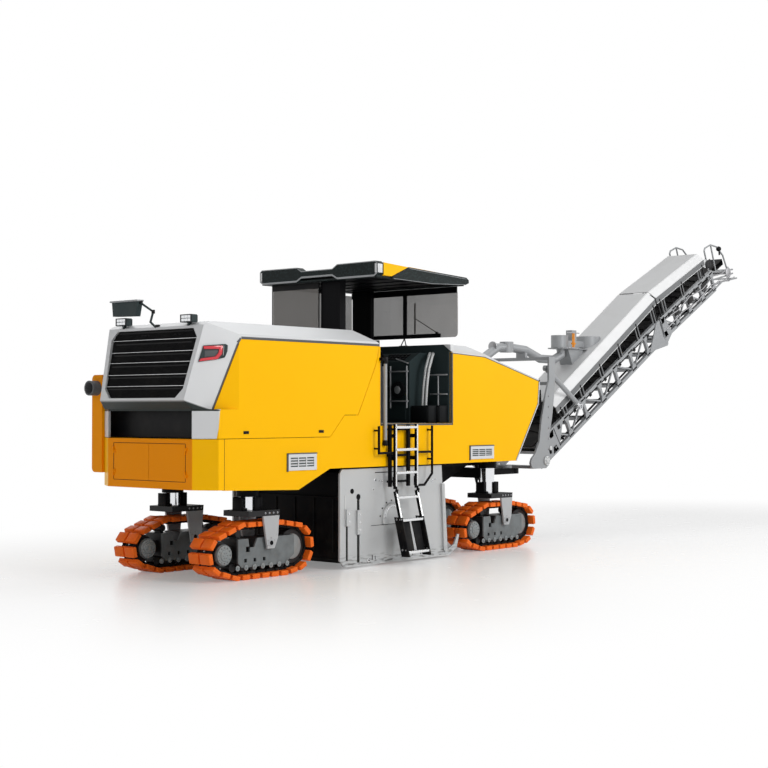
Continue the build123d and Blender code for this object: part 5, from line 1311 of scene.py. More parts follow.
@dataclass
class Ladder:
    """Pale rails and rungs over the black ladder, its side bars, hinges and hangers."""

    x: tuple = (3.3, 3.75)
    y: float = -1.15
    split: float = 1.0
    foot: tuple = (-1.365, 0.13)
    upper_rungs: tuple = (1.84, 1.54, 1.23)
    lower_rungs: tuple = (0.9, 0.6, 0.18)
    ties: tuple = (1.1, 1.45, 1.8)
    grips: int = 9
    panel: float = -1.049
    stanchion: tuple = (3.18, -1.08)  # ahead, and across

    def outer(self, z: float) -> float:
        """Y of the lower ladder's rails at a height."""
        top = self.split - 0.015
        return self.y + (self.foot[0] - self.y) * (top - z) / (top - self.foot[1])

    def rung(self, form: Form, y: float, z: float) -> None:
        """Add one rung's pale face, and the grips on its tread."""
        form.box(point(self.x[0], y - 0.033, z - 0.016), point(self.x[1], y - 0.027, z + 0.016), 0.003, 1)
        for index in range(self.grips):
            a = self.x[0] + 0.03 + index * 0.0487
            form.box(point(a, y - 0.028, z + 0.013), point(a + 0.012, y + 0.018, z + 0.02))

    def build(self, look: Finishes) -> None:
        """Add the pieces of both halves."""
        self.upper(look)
        self.tube(look)
        self.lower(look)

    def upper(self, look: Finishes) -> None:
        """Add the fixed half's pale rails and rungs, and the black bars, ties and hinge plates."""
        bright, black, y, (x0, x1) = Form(), Form(), self.y, self.x
        for x in self.x:
            bright.box(point(x - 0.013, y - 0.026, 1.03), point(x + 0.013, y - 0.016, 1.884), 0.003, 1)
        for z in self.upper_rungs:
            self.rung(bright, y, z)
        for a0, a1 in ((x0 - 0.072, x0 - 0.026), (x1 - 0.14, x1 - 0.09)):
            black.box(point(a0, y + 0.03, 1.045), point(a1, y + 0.07, 1.88), 0.006)
        for z in self.ties:
            top = z + 0.03
            black.box(point(x0 - 0.07, y + 0.045, z), point(x1 - 0.09, y + 0.065, top), 0.004)
            black.box(point(x0 - 0.06, y + 0.06, z), point(x0 - 0.03, self.panel, top), 0.004)
            black.box(point(x1 - 0.13, y + 0.06, z), point(x1 - 0.1, self.panel, top), 0.004)
        for x in self.x:
            black.box(point(x - 0.036, y - 0.014, 1.055), point(x - 0.0215, y + 0.018, 1.18), 0.004)
        bright.piece("ladder_upper_steps", "machine", look.bright, Slot.GREY)
        black.piece("ladder_upper_back", "machine", look.black, Slot.BLACK)

    def tube(self, look: Finishes) -> None:
        """Add the grey stanchion beside the way in with its two black sockets."""
        grey, cap, (a, y) = Form(), Form(), self.stanchion
        grey.rod(point(a, y, 1.615), point(a, y, 2.765), 0.0245, 20)
        for foot, top, radius in ((2.69, 2.782, 0.036), (1.597, 1.67, 0.034)):
            cap.rod(point(a, y, foot), point(a, y, top), radius, 20, 0.008)
        grey.piece("stanchion_tube", "machine", look.conveyor, Slot.GREY)
        cap.piece("stanchion_sockets", "machine", look.plastic, Slot.BLACK)

    def lower(self, look: Finishes) -> None:
        """Add the folding half: pale rails and rungs, the hangers' bolts and the rubber plates between."""
        body, low, high = "ladder_foot", 0.6, 0.975
        bright, black, rubber = Form(), Form(), Form()
        for x in self.x:
            corners = ((x - 0.013, high), (x + 0.013, high), (x + 0.013, low), (x - 0.013, low))
            bright.slab([point(a, self.outer(z) - 0.027, z) for a, z in corners], (0, 0.008, 0))
        for z in self.lower_rungs:
            self.rung(bright, self.outer(z), z)
        for x in self.x:
            for z in (0.6, 0.2):
                y = self.outer(z)
                places = [point(x - 0.0125, y + shift, z + 0.01) for shift in (0.0, 0.06)]
                black.bolts(places, (-1, 0, 0), 0.01, 0.008)
            for z in (0.45, 0.25):
                rubber.bolts([point(x - 0.0125, self.outer(z) + 0.03, z)], (-1, 0, 0), 0.012, 0.006)
        middle, low, high = (self.x[0] + self.x[1]) / 2, 0.195, 0.585
        for a0, a1 in ((self.x[0] + 0.03, middle - 0.02), (middle + 0.02, self.x[1] - 0.03)):
            corners = ((a0, high), (a1, high), (a1 - 0.01, low), (a0 + 0.01, low))
            rubber.slab([point(a, self.outer(z) + 0.02, z) for a, z in corners], (0, 0.012, 0), 0.004)
        bright.piece("ladder_lower_steps", body, look.bright, Slot.GREY)
        black.piece("ladder_lower_bolts", body, look.steel, Slot.DARK)
        rubber.piece("ladder_lower_rubber", body, look.rubber, Slot.RUBBER)


@dataclass
class MillingGear:
    """Fasteners and wear strips of the side plates, the drum's picks and the scraper's ribs."""

    face: float = 1.0  # y of the side plates' outer faces
    raised: float = 0.03  # of the bearing cover and the brackets over that face
    axis: tuple = (3.4, 0.62)  # drum's, ahead and height
    cover_bolts: int = 13
    bracket_bolts: tuple = ((2.515, 0.62), (2.515, 0.72), (2.725, 0.5), (2.725, 0.6), (2.725, 0.7))
    pegs: tuple = (  # ahead, height and radius
        (3.06, 1.14, 0.022), (3.14, 1.13, 0.01), (3.2, 1.12, 0.014), (3.02, 1.02, 0.016),
        (2.93, 0.085, 0.03), (4.2, 1.1, 0.02), (4.28, 1.09, 0.018), (4.36, 1.11, 0.012))
    seams: tuple = ((3.06, 3.45, 1.235, 1.245), (2.98, 3.62, 0.536, 0.541))  # limits ahead, and in height
    foot_slots: tuple = ((3.0, 3.06), (3.66, 3.72), (3.78, 3.84), (4.02, 4.06))
    long_slots: tuple = ((2.7, 2.75, 0.07, 0.9), (2.48, 2.52, 0.11, 0.7))
    skid: tuple = ((4.5, 1.035), (4.512, 1.035), (4.565, 0.115), (4.552, 0.112))
    rings: int = 13
    picks_a_ring: int = 6
    pick_reach: float = 0.86

    def build(self, look: Finishes) -> None:
        """Add both side plates' fittings, the drum's picks and the scraper's ribs."""
        for side in Side:
            self.plate_bolts(side, look)
            self.plate_marks(side, look)
            self.plate_edges(side, look)
        self.picks(look)
        self.scraper(look)

    @staticmethod
    def body(side: Side) -> str:
        """Name of one side plate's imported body."""
        return f"side_plate_{side.word}_body"

    def round_cover(self, radius: float, y: float) -> list[Place]:
        """Places round the upper half of the bearing cover."""
        a, z = self.axis
        angles = [math.radians(8 + index * 13.6) for index in range(self.cover_bolts)]
        return [point(a + radius * math.cos(t), y, z + radius * math.sin(t)) for t in angles]

    def plate_bolts(self, side: Side, look: Finishes) -> None:
        """Add one side plate's bolts on its bearing cover and brackets, and its pegs."""
        sign, form = side.value, Form()
        y, out = sign * self.face, (0, sign, 0)
        form.bolts(self.round_cover(0.165, y + sign * self.raised), out, 0.011, 0.009)
        form.bolts([point(a, y + sign * self.raised, z) for a, z in self.bracket_bolts], out, 0.01, 0.008)
        for a, z, radius in self.pegs:
            form.rod(point(a, y - sign * 0.002, z), point(a, y + sign * 0.008, z), radius, 20, 0.003)
        form.piece(f"side_plate_bolts_{side.word}", self.body(side), look.bright, Slot.GREY)

    def plate_marks(self, side: Side, look: Finishes) -> None:
        """Add one side plate's dark holes, seams and slots."""
        sign, form = side.value, Form()
        y = sign * self.face
        form.bolts(self.round_cover(0.235, y)[::2], (0, sign, 0), 0.008, 0.006)
        form.rod(point(2.725, y + sign * 0.002, 0.93), point(2.725, y - sign * 0.01, 0.93), 0.04, 24)
        form.rod(point(2.6, y + sign * 0.003, 1.01), point(2.6, y - sign * 0.01, 1.01), 0.034, 24)
        for a, z, radius in self.pegs:
            form.rod(point(a, y + sign * 0.006, z), point(a, y + sign * 0.0085, z), radius * 0.45, 12)
        y0, y1 = sorted((y, y + sign * 0.0035))
        for a0, a1, low, high in self.seams:
            form.box(point(a0, y0, low), point(a1, y1, high))
        for a0, a1 in self.foot_slots:
            form.box(point(a0, y0, 0.085), point(a0 + 0.01, y1, 0.15))
            form.box(point(a1, y0, 0.085), point(a1 + 0.008, y1, 0.135))
        y0, y1 = sorted((sign * 0.978, sign * 0.984))
        for a0, a1, low, high in self.long_slots:
            form.box(point(a0, y0, low), point(a1, y1, high))
        form.piece(f"side_plate_marks_{side.word}", self.body(side), look.black, Slot.DARK)

    def plate_edges(self, side: Side, look: Finishes) -> None:
        """Add one side plate's pale post edges, its foot strip and the edge of its skid."""
        sign, form = side.value, Form()
        y = sign * self.face
        y0, y1 = sorted((y - sign * 0.002, y + sign * 0.006))
        for a0, a1, low, high in ((2.372, 2.378, 0.2, 1.235), (2.462, 2.47, 0.64, 0.96)):
            form.box(point(a0 - 0.006, y0, low), point(a1 + 0.006, y1, high), 0.002, 1)
        form.box(point(2.475, y0, 0.028), point(4.66, y + sign * 0.0135, 0.04))
        y0, y1 = sorted((y + sign * 0.027, y + sign * 0.0325))
        form.slab([point(a, y0, z) for a, z in self.skid], (0, y1 - y0, 0))
        form.piece(f"side_plate_edges_{side.word}", self.body(side), look.pale, Slot.GREY)

    def picks(self, look: Finishes) -> None:
        """Add round-shank picks with hard tips round the drum, on the screw of its holders."""
        shank, tip = Form(), Form()
        a, z = self.axis
        for row in range(self.rings):
            y = -self.pick_reach + row * 2 * self.pick_reach / (self.rings - 1)
            turn = 135.0 * (1 - abs(y) / self.pick_reach)
            for index in range(self.picks_a_ring):
                angle = math.radians(index * 360 / self.picks_a_ring + turn + 4)
                radial = Vector((math.cos(angle), 0, math.sin(angle)))
                along = Vector((-math.sin(angle), 0, math.cos(angle)))
                root = Vector(point(a, y, z)) + radial * 0.415 + along * 0.004
                lean = (radial + along * 0.5).normalized()
                shank.rod(root, root + lean * 0.035, 0.024, 10, 0.0, 0.018)
                tip.rod(root + lean * 0.035, root + lean * 0.058, 0.011, 8, 0.0, 0.004)
        shank.piece("drum_picks", "drum", look.tool, Slot.DARK)
        tip.piece("drum_tips", "drum", look.bright, Slot.CHROME)

    def scraper(self, look: Finishes) -> None:
        """Add stiffeners and bolts on the scraper's rear face."""
        ribs = Form()
        for y in (-0.7, -0.35, 0.0, 0.35, 0.7):
            ribs.box(point(2.556, y - 0.012, 0.2), point(2.571, y + 0.012, 0.9), 0.003, 1)
        ribs.box(point(2.556, -0.94, 0.075), point(2.571, 0.94, 0.115), 0.004, 1)
        places = [point(2.57, y, 0.095) for y in (-0.85, -0.55, -0.2, 0.2, 0.55, 0.85)]
        ribs.bolts(places, (-1, 0, 0), 0.012, 0.02)
        # Dark like the scraper, whose black is painted shade.
        ribs.piece("scraper_ribs", "scraper_body", look.dark, Slot.DARK)


# ------------------------------------------------------------------ conveyors
FOLD_PIN = (FOOT_PIN[0] + FOLD_REACH * math.cos(math.radians(FOOT_ANGLE)),
            FOOT_PIN[1] + FOLD_REACH * math.sin(math.radians(FOOT_ANGLE)))


def on_slope(origin: tuple, angle: float) -> Matrix:
    """Transform from a conveyor's own (along, across, up) frame to the machine's."""
    return Matrix.Translation(point(origin[0], 0, origin[1])) @ Matrix.Rotation(-math.radians(angle), 4, "Y")


def chevrons(start: float, end: float, step: float, half: float, runs: tuple) -> Form:
    """Make a belt's chevron cleats in its own frame.

    Args:
        start: place along of the first one.
        end: place along that the last one stays short of.
        step: distance from one to the next.
        half: half their width.
        runs: height of each run's face, and the cleats' rise from it.

    Returns:
        The form that holds them.
    """
    form, at = Form(), start
    while at < end:
        for sign in (-1, 1):
            outline = ((at, 0.0), (at + 0.022, 0.0), (at - 0.078, sign * half), (at - 0.1, sign * half))
            for height, rise in runs:
                form.slab([(a, y, height) for a, y in outline], (0, 0, rise))
        at += step
    return form


@dataclass
class Section:
    """One length of the discharge conveyor: gussets, idlers, belt cleats, cover folds and fasteners."""

    name: str
    body: str
    origin: tuple
    angle: float
    start: float
    end: float
    bays: int
    rise: tuple  # cover's top over the lower chord at the start and the end of the cover
    cover: tuple  # start and end of the cover
    depth: float = 0.43
    half: float = 0.4
    chord: float = 0.06
    idler_drop: float = 0.078  # under the truss's top
    idler_step: float = 0.55

    @property
    def turn(self) -> Matrix:
        """Transform from the section's own frame to the machine's."""
        return on_slope(self.origin, self.angle)

    def add(self, form: Form, name: str, finish: Material, slot: Slot) -> None:
        """Lay a form along the section and finish it as one of its pieces."""
        form.moved(self.turn).piece(f"{self.name}_{name}", self.body, finish, slot)

    def top(self, at: float) -> float:
        """Height of the cover's top at a place along."""
        share = (at - self.cover[0]) / (self.cover[1] - self.cover[0])
        return self.rise[0] + (self.rise[1] - self.rise[0]) * share

    def build(self, look: Finishes) -> None:
        """Add the section's pieces."""
        self.truss(look)
        self.idlers(look)
        self.cleats(look)
        self.covering(look)

    def truss(self, look: Finishes) -> None:
        """Add gussets at the truss's nodes, bolts along the chords and the hydraulic lines."""
        plates, bolts, lines = Form(), Form(), Form()
        step = (self.end - self.start) / self.bays
        for bay in range(self.bays + 1):
            at = min(max(self.start + bay * step, self.start + 0.05), self.end - 0.05)
            for sign in (-1, 1):
                y = sign * self.half
                for z, rise in ((self.chord, 0.075), (self.depth - self.chord, -0.075)):
                    root = z - math.copysign(0.03, rise)
                    outline = [(at - 0.085, y, root), (at + 0.085, y, root),
                               (at + 0.045, y, z + rise), (at - 0.045, y, z + rise)]
                    plates.slab(outline, (0, -sign * 0.007, 0))
                places = [(at - 0.03, y, 0.03), (at + 0.03, y, 0.03), (at, y, self.depth - 0.03)]
                bolts.bolts(places, (0, sign, 0), 0.008, 0.007)
        for y, z in ((-0.33, 0.085), (-0.3, 0.08), (0.32, 0.085)):
            lines.rod((self.start + 0.03, y, z), (self.end - 0.06, y, z), 0.01, 8)
        for at in (self.start + 0.4, (self.start + self.end) / 2, self.end - 0.5):
            lines.box((at - 0.02, -0.345, 0.06), (at + 0.02, -0.285, 0.1), 0.004)
        self.add(plates, "gussets", look.conveyor, Slot.CONVEYOR)
        self.add(bolts, "bolts", look.steel, Slot.GREY)
        self.add(lines, "lines", look.plastic, Slot.DARK)

    def idlers(self, look: Finishes) -> None:
        """Add carrying idlers between the belt's runs, and their end caps outside the chord."""
        rollers, caps, z = Form(), Form(), self.depth - self.idler_drop
        for index in range(int((self.end - self.start) / self.idler_step)):
            at = self.start + 0.3 + index * self.idler_step
            rollers.rod((at, -0.325, z), (at, 0.325, z), 0.038, 18, 0.004)
            for sign in (-1, 1):
                rollers.rod((at, sign * 0.325, z), (at, sign * 0.345, z), 0.014, 10)
                y0, y1 = sorted((sign * 0.4, sign * 0.412))
                caps.box((at - 0.035, y0, self.depth - 0.11), (at + 0.035, y1, self.depth - 0.045), 0.004)
                caps.rod((at, y0, z), (at, y1 + 0.004, z), 0.014, 10)
        self.add(rollers, "idlers", look.steel, Slot.DARK)
        self.add(caps, "idler_caps", look.plastic, Slot.DARK)

    def cleats(self, look: Finishes) -> None:
        """Add the belt's chevron cleats on both runs."""
        runs = ((self.depth - 0.016, 0.02), (0.3, -0.018))
        form = chevrons(self.start + 0.05, self.end - 0.12, 0.25, 0.28, runs)
        self.add(form, "cleats", look.rubber, Slot.RUBBER)

    def covering(self, look: Finishes) -> None:
        """Add the cover's folded edges, its toggle clips and the black strap pairs."""
        folds, clips = Form(), Form()
        low, high = self.cover
        for sign in (-1, 1):
            for y, drop in ((0.3, 0.0), (0.4195, 0.122), (0.4195, 0.236)):
                places = [(at, sign * y, self.top(at) - drop) for at in (low + 0.01, high - 0.01)]
                folds.rod(places[0], places[1], 0.0055, 8)
            count = int((high - low) / 0.7)
            for index in range(count + 1):
                at = low + 0.12 + index * (high - low - 0.24) / max(count, 1)
                z = self.top(at) - 0.215
                y0, y1 = sorted((sign * 0.418, sign * 0.428))
                clips.box((at - 0.012, y0, z - 0.035), (at + 0.012, y1, z + 0.03), 0.003)
                y0, y1 = sorted((sign * 0.388, sign * 0.404))
                top = self.top(at) - 0.242
                for shift in (-0.045, 0.045):
                    clips.box((at + shift - 0.016, y0, self.depth), (at + shift + 0.016, y1, top), 0.003)
        self.add(folds, "cover_folds", look.cover, Slot.CONVEYOR)
        self.add(clips, "clips", look.plastic, Slot.DARK)


@dataclass
class Transfer:
    """Fittings of the mast, the conveyor's foot and head, the fan, the pipe and the primary belt."""

    slew: float = 7.48
    mast_face: float = 0.592
    mast_bolts: tuple = (1.45, 1.62, 1.79, 1.96, 2.13, 2.3)  # heights
    hose: tuple = ((7.6, 2.4), (7.62, 2.1), (7.66, 1.8), (7.68, 1.45))  # ahead, and height
    hose_shifts: tuple = ((-0.546, 0.0), (-0.546, 0.035), (0.546, 0.0))  # across, and ahead
    tail: tuple = (0.155, 0.325)  # tail drum's place, along and up
    lags: int = 12
    cheek_lines: tuple = (((0.235, 0.02), (0.205, 0.2)), ((0.64, 0.06), (0.6, 0.405)))
    cheek_bolts: tuple = ((0.06, 0.05), (0.17, 0.05), (0.3, 0.39), (0.44, 0.39), (0.52, 0.1))
    steel_lines: tuple = (  # radius, and places along and up the head
        (0.012, ((0.2, 0.33), (0.7, 0.285), (1.2, 0.33), (1.75, 0.25), (2.25, 0.3), (2.6, 0.2),
                 (2.9, 0.215))),
        (0.012, ((0.15, 0.15), (0.8, 0.19), (1.45, 0.12), (2.1, 0.18), (2.65, 0.04), (2.95, 0.06))),
        (0.01, ((1.9, 0.09), (2.4, 0.13), (2.8, -0.04), (3.05, -0.06))))
    line_boxes: tuple = ((1.1, 1.32, 0.2), (0.55, 0.74, 0.215), (1.7, 1.95, 0.215))  # ends, and foot
    primary_ends: tuple = ((4.3, 0.76), (7.26, 1.96))

    def build(self, look: Finishes) -> None:
        """Add the pieces of the transfer point."""
        self.mast(look)
        self.cheeks(look)
        self.fan(look)
        self.pipes(look)
        self.tip(look)
        self.primary(look)

    def mast(self, look: Finishes) -> None:
        """Add bolts, pins and rings on the mast, and hoses beside it."""
        bolts, rings, hoses = Form(), Form(), Form()
        for sign in (-1, 1):
            y = sign * self.mast_face
            bolts.bolts([point(7.8, y, z) for z in self.mast_bolts], (0, sign, 0), 0.011, 0.009)
            spot = Vector(point(7.74, y, 1.27))
            rings.rod(spot, spot + Vector((0, sign * 0.022, 0)), 0.075, 32, 0.006)
            rings.rod(spot, spot + Vector((0, sign * 0.036, 0)), 0.038, 24, 0.005)
            places = ring(spot + Vector((0, sign * 0.022, 0)), 0.056, 6)
            bolts.bolts(places, (0, sign, 0), 0.006, 0.006)
        for z, radius in ((1.14, 0.15), (2.47, 0.11)):
            rings.rod(point(self.slew, 0, z + 0.006), point(self.slew, 0, z + 0.03), radius, 40, 0.005)
        for y, shift in self.hose_shifts:
            hoses.path([point(a + shift, y, z) for a, z in self.hose], 0.011, 10)
        bolts.piece("mast_bolts", "mast", look.steel, Slot.GREY)
        rings.piece("mast_rings", "mast", look.pale, Slot.GREY)
        hoses.piece("mast_hoses", "mast", look.plastic, Slot.DARK)

    def cheeks(self, look: Finishes) -> None:
        """Add dark joint lines and brackets, pale pins and bolts to the foot's cheeks, and the tail drum."""
        turn = on_slope(FOOT_PIN, FOOT_ANGLE)
        dark, disc, drum = Form(), Form(), Form()
        for sign in (-1, 1):
            y0, y1 = sorted((sign * 0.4, sign * 0.4035))
            for (a0, z0), (a1, z1) in self.cheek_lines:
                corners = ((a0, z0), (a0 + 0.01, z0), (a1 + 0.01, z1), (a1, z1))
                dark.slab([(a, y0, z) for a, z in corners], (0, y1 - y0, 0))
            y0, y1 = sorted((sign * 0.4, sign * 0.412))
            dark.box((0.315, y0, 0.085), (0.37, y1, 0.18), 0.006)
            disc.rod((0.365, sign * 0.4, 0.175), (0.365, sign * 0.42, 0.175), 0.036, 24, 0.005)
            disc.bolts([(a, sign * 0.4, z) for a, z in self.cheek_bolts], (0, sign, 0), 0.009, 0.007)
        along, height = self.tail
        drum.rod((along, -0.335, height), (along, 0.335, height), 0.072, 28, 0.008)
        for index in range(self.lags):
            angle = math.radians(360 / self.lags * index)
            a, z = along + 0.074 * math.cos(angle), height + 0.074 * math.sin(angle)
            drum.box((a - 0.008, -0.33, z - 0.008), (a + 0.008, 0.33, z + 0.008), 0.002, 1)
        dark.moved(turn).piece("foot_marks", "discharge", look.black, Slot.DARK)
        disc.moved(turn).piece("foot_pins", "discharge", look.pale, Slot.CONVEYOR)
        drum.moved(turn).piece("tail_drum", "discharge", look.steel, Slot.DARK)

    def fan(self, look: Finishes) -> None:
        """Add bands, orange stripes and bolts to the dust fan."""
        low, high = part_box("suction_fan")
        LOG.info("suction fan from %.2f to %.2f high", low[2], high[2])
        bands, warm, bolts = Form(), Form(), Form()
        for a in (9.095, 9.135, 9.175):
            warm.rod(point(a, -0.19, 3.2), point(a, -0.214, 3.2), 0.016, 12)
        for z in (3.13, 3.38):
            bands.box(point(8.92, -0.2195, z - 0.008), point(9.3, -0.205, z + 0.008), 0.003, 1)
        for a0, a1 in ((9.085, 9.105), (9.125, 9.15)):
            warm.box(point(a0, -0.2198, 3.135), point(a1, -0.206, 3.372), 0.002, 1)
        bolts.bolts([point(a, -0.2195, 3.13) for a in (8.97, 9.05, 9.2, 9.27)], (0, -1, 0), 0.008, 0.006)
        bands.piece("fan_bands", "discharge", look.steel, Slot.GREY)
        warm.piece("fan_stripes", "discharge", look.orange_band, Slot.CONVEYOR)
        bolts.piece("fan_bolts", "discharge", look.steel, Slot.GREY)

    def pipes(self, look: Finishes) -> None:
        """Add the clamps at the suction pipe's ends."""
        clamps = Form()
        for a, z in ((6.52, 2.62), (7.1, 3.09)):
            clamps.rod(point(a - 0.012, 0, z), point(a + 0.012, 0, z), 0.078, 28, 0.003)
        clamps.piece("pipe_clamps", "machine", look.steel, Slot.GREY)

    def tip(self, look: Finishes) -> None:
        """Add the lamp, roller ends, steel lines with their boxes and drum ends of the head."""
        turn = on_slope(FOLD_PIN, HEAD_ANGLE)
        dark, pale, lines, drum = Form(), Form(), Form(), Form()
        dark.ball((2.725, -0.385, 0.67), 0.052, 2)
        dark.rod((2.725, -0.385, 0.63), (2.7, -0.385, 0.55), 0.016, 10)
        for y in (-0.385, 0.385):
            pale.rod((2.06, y, 0.64), (2.06, y + math.copysign(0.018, y), 0.64), 0.085, 28, 0.008)
            dark.rod((2.11, y, 0.6), (2.11, y + math.copysign(0.03, y), 0.6), 0.07, 24, 0.006)
            dark.box((2.16, y - 0.012, 0.5), (2.3, y + 0.012, 0.64), 0.006)
            drum.rod((2.86, y, 0.11), (2.86, y + math.copysign(0.014, y), 0.11), 0.105, 32, 0.006)
        drum.rod((2.86, -0.33, 0.11), (2.86, 0.33, 0.11), 0.03, 16)
        for y in (-0.398, 0.398):
            for radius, places in self.steel_lines:
                lines.path([(a, y, z) for a, z in places], radius, 8)
            for start, end, foot in self.line_boxes:
                dark.box((start, y - 0.008, foot), (end, y + 0.008, 0.345), 0.006)
        dark.moved(turn).piece("head_dark_parts", "head", look.plastic, Slot.DARK)
        pale.moved(turn).piece("head_roller_ends", "head", look.pale, Slot.CONVEYOR)
        lines.moved(turn).piece("head_steel_lines", "head", look.steel, Slot.GREY)
        drum.moved(turn).piece("head_drum_ends", "head", look.steel, Slot.GREY)

    def primary(self, look: Finishes) -> None:
        """Add the chevron cleats of the primary belt."""
        start, end = (Vector(place) for place in self.primary_ends)
        run = (end - start).normalized()
        turn = on_slope((start.x, start.y), math.degrees(math.atan2(run.y, run.x)))
        runs = ((0.188, 0.018), (-0.188, -0.018))
        form = chevrons(0.25, (end - start).length - 0.15, 0.26, 0.27, runs)
        form.moved(turn).piece("primary_cleats", "machine", look.rubber, Slot.RUBBER)


# ------------------------------------------------------------------ stage
@dataclass
class Studio:
    """Floor, lights, world and camera."""

    eye: tuple = (-18.993, -13.637, 2.051)
    yaw: float = 40.265
    rise: float = 0.019
    lens: float = 68.25

    def build(self) -> None:
        """Set the whole stage."""
        self.camera()
        self.floor()
        self.world()
        self.lamp("key", (-3, -18, 10), 1750, 8.0)
        self.lamp("fill", (-22, -3, 6), 260, 7.0)
        self.lamp("front", (16, -13, 9), 520, 8.0)
        self.lamp("back", (2, 16, 11), 420, 8.0)
        self.lamp("top", (0, 0, 16), 620, 12.0)

    def camera(self) -> None:
        """Place the camera and make it the scene's own."""
        data = bpy.data.cameras.new("view")
        data.lens, data.sensor_width = self.lens, 36.0
        camera = bpy.data.objects.new("view", data)
        yaw = math.radians(self.yaw)
        look = Vector((math.cos(yaw) * math.cos(self.rise), math.sin(yaw) * math.cos(self.rise),
                       math.sin(self.rise)))
        camera.location = self.eye
        camera.rotation_euler = look.to_track_quat("-Z", "Y").to_euler()
        bpy.context.scene.collection.objects.link(camera)
        bpy.context.scene.camera = camera

    def floor(self) -> None:
        """Lay a pale, slightly glossy floor."""
        shader = Shader("studio_floor")
        tone = shader.noise(0.4, 2.0)
        shader.finish(Base_Color=shader.mix(tone, (0.93, 0.93, 0.93), (0.95, 0.95, 0.95)),
                      Roughness=shader.noise(2.0) * 0.05 + 0.24, Specular_IOR_Level=0.35)
        along = (abs(shader.x) - 5.5).math("MAXIMUM", 0.0)
        away = (along * along + shader.y * shader.y) ** 0.5
        seen = shader.node("ShaderNodeLightPath", output="Is Camera Ray")
        for name in ("Is Glossy Ray", "Is Transmission Ray"):
            seen = seen.math("MAXIMUM", shader.node("ShaderNodeLightPath", output=name))
        white = shader.node("ShaderNodeEmission", inputs={"Color": (1.0, 1.0, 1.0), "Strength": 1.0})
        blend = shader.node("ShaderNodeMixShader",
                            inputs={"Fac": away.above(4.4, 3.4) * 0.8 * seen + seen * 0.2})
        shader.tree.links.new(shader.surface.outputs[0], blend.socket.node.inputs[1])
        shader.tree.links.new(white.socket, blend.socket.node.inputs[2])
        last = next(n for n in shader.tree.nodes if n.type == "OUTPUT_MATERIAL")
        shader.tree.links.new(blend.socket, last.inputs["Surface"])
        form = Form()
        form.box((-90, -90, -0.2), (90, 90, 0.0))
        mesh = bpy.data.meshes.new("studio_floor")
        form.bm.to_mesh(mesh)
        form.bm.free()
        mesh.materials.append(shader.material)
        floor = bpy.data.objects.new("studio_floor", mesh)
        bpy.context.scene.collection.objects.link(floor)

    def world(self) -> None:
        """Light the scene evenly, and show white behind it."""
        world = bpy.data.worlds.new("studio")
        world.use_nodes = True
        bpy.context.scene.world = world
        tree = world.node_tree
        back = next(n for n in tree.nodes if n.type == "BACKGROUND")
        path = tree.nodes.new("ShaderNodeLightPath")
        seen = Value(tree, path.outputs["Is Camera Ray"])
        for name in ("Is Glossy Ray", "Is Transmission Ray"):
            seen = seen.math("MAXIMUM", Value(tree, path.outputs[name]))
        tree.links.new((seen * 0.64 + 0.36).socket, back.inputs["Strength"])
        back.inputs["Color"].default_value = (1, 1, 1, 1)

    def lamp(self, name: str, place: tuple, power: float, size: float) -> None:
        """Hang one square soft light that faces the machine's middle."""
        data = bpy.data.lights.new(name, "AREA")
        data.energy, data.size = power, size
        lamp = bpy.data.objects.new(name, data)
        lamp.location = place
        lamp.rotation_euler = (Vector((-2, 0, 1.5)) - Vector(place)).to_track_quat("-Z", "Y").to_euler()
        bpy.context.scene.collection.objects.link(lamp)


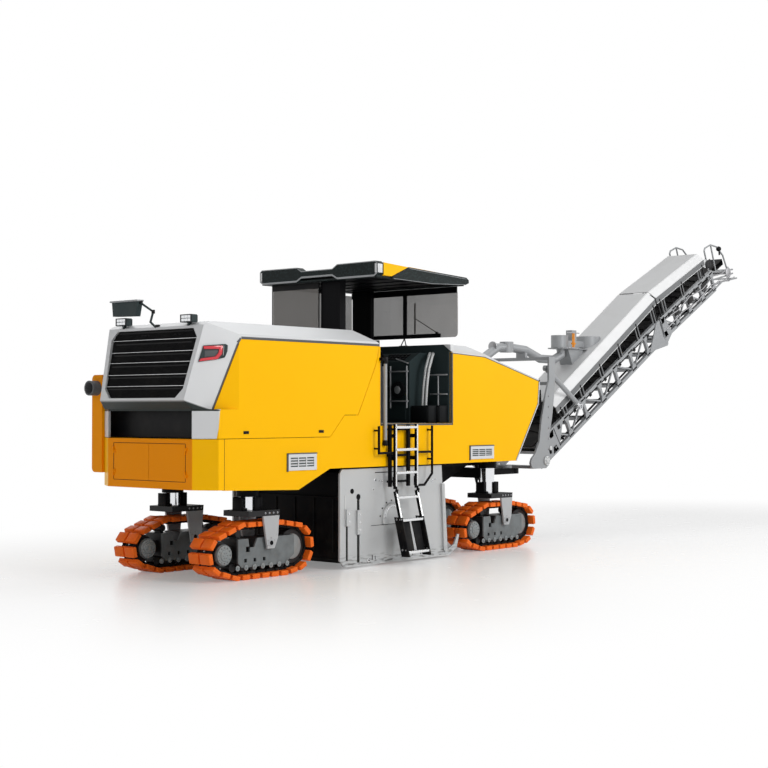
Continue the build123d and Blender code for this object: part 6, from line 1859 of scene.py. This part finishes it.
def dress_nodes(look: Finishes) -> None:
    """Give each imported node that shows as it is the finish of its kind."""
    table = {
        look.yellow: ("hood_sides", "side_panels", "canopy_roof"),
        look.bumper: ("rear_bumper", "bumper_door_right", "bumper_door_left"),
        look.locker: ("side_locker",),
        look.crown: ("hood_crown",),
        look.silver: ("front_cover", "side_lamps"),
        # drum_housing and scraper take satin black as painted shade: they lie in shadow between the rear
        # tracks and the side plates.
        look.black: ("canopy_posts", "column_sleeves", "upper_ladder", "lower_ladder", "conveyor_bracket",
                     "drum_housing", "scraper"),
        look.dark: ("main_frame", "engine", "front_wall"),
        look.bay: ("platform", "stand_fittings"),
        look.conveyor: ("slew_mast", "lift_barrel_right", "lift_barrel_left", "discharge_frame", "head_frame",
                        "suction_pipe", "suction_hose", "suction_fan"),
        look.plate: ("side_plate_right", "side_plate_left"),
        look.chrome: ("lift_rod_right", "lift_rod_left"),
        look.steel: ("milling_drum",),
        look.rubber: ("discharge_belt", "head_belt", "primary_conveyor"),
        look.plastic: ("grille",),
        look.housing: ("hood_lamps",),
        look.roof: ("canopy_trim",),
        look.glass: ("glazing",),
    }
    dress("discharge_cover", Finishes.cover_with_painted_light("discharge", FOOT_PIN, FOOT_ANGLE, *LOWER_COVER))
    dress("head_cover", Finishes.cover_with_painted_light("head", FOLD_PIN, HEAD_ANGLE, *HEAD_COVER))
    for material, nodes in table.items():
        for node in nodes:
            dress(node, material)


def main() -> None:
    """Build the stage, the finishes and every sub-assembly."""
    logging.basicConfig(level=logging.INFO, format="%(name)s: %(message)s")
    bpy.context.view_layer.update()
    bpy.context.scene.view_settings.view_transform = "Standard"
    Studio().build()
    look = Finishes()
    dress_nodes(look)
    for end, middle in (("rear", 1.095), ("front", 6.1)):
        for side in Side:
            Undercarriage(end, side, middle).build(look)
    for part in (RearHood(), Bumper(), FrontBody(), Canopy(), Stand(), Ladder(), MillingGear(), Transfer()):
        part.build(look)
    Section("lower", "discharge", FOOT_PIN, FOOT_ANGLE, 0.45, 4.53, 7, *LOWER_COVER).build(look)
    Section("head", "head", FOLD_PIN, HEAD_ANGLE, 0.03, 2.24, 4, *HEAD_COVER).build(look)


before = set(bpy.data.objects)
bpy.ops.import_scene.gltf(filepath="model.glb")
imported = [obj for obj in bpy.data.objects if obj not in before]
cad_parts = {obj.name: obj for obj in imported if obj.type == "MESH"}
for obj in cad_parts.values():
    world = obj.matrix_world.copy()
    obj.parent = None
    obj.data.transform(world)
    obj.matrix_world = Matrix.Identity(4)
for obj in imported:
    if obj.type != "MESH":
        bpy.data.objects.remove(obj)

if __name__ == "__main__":
    main()
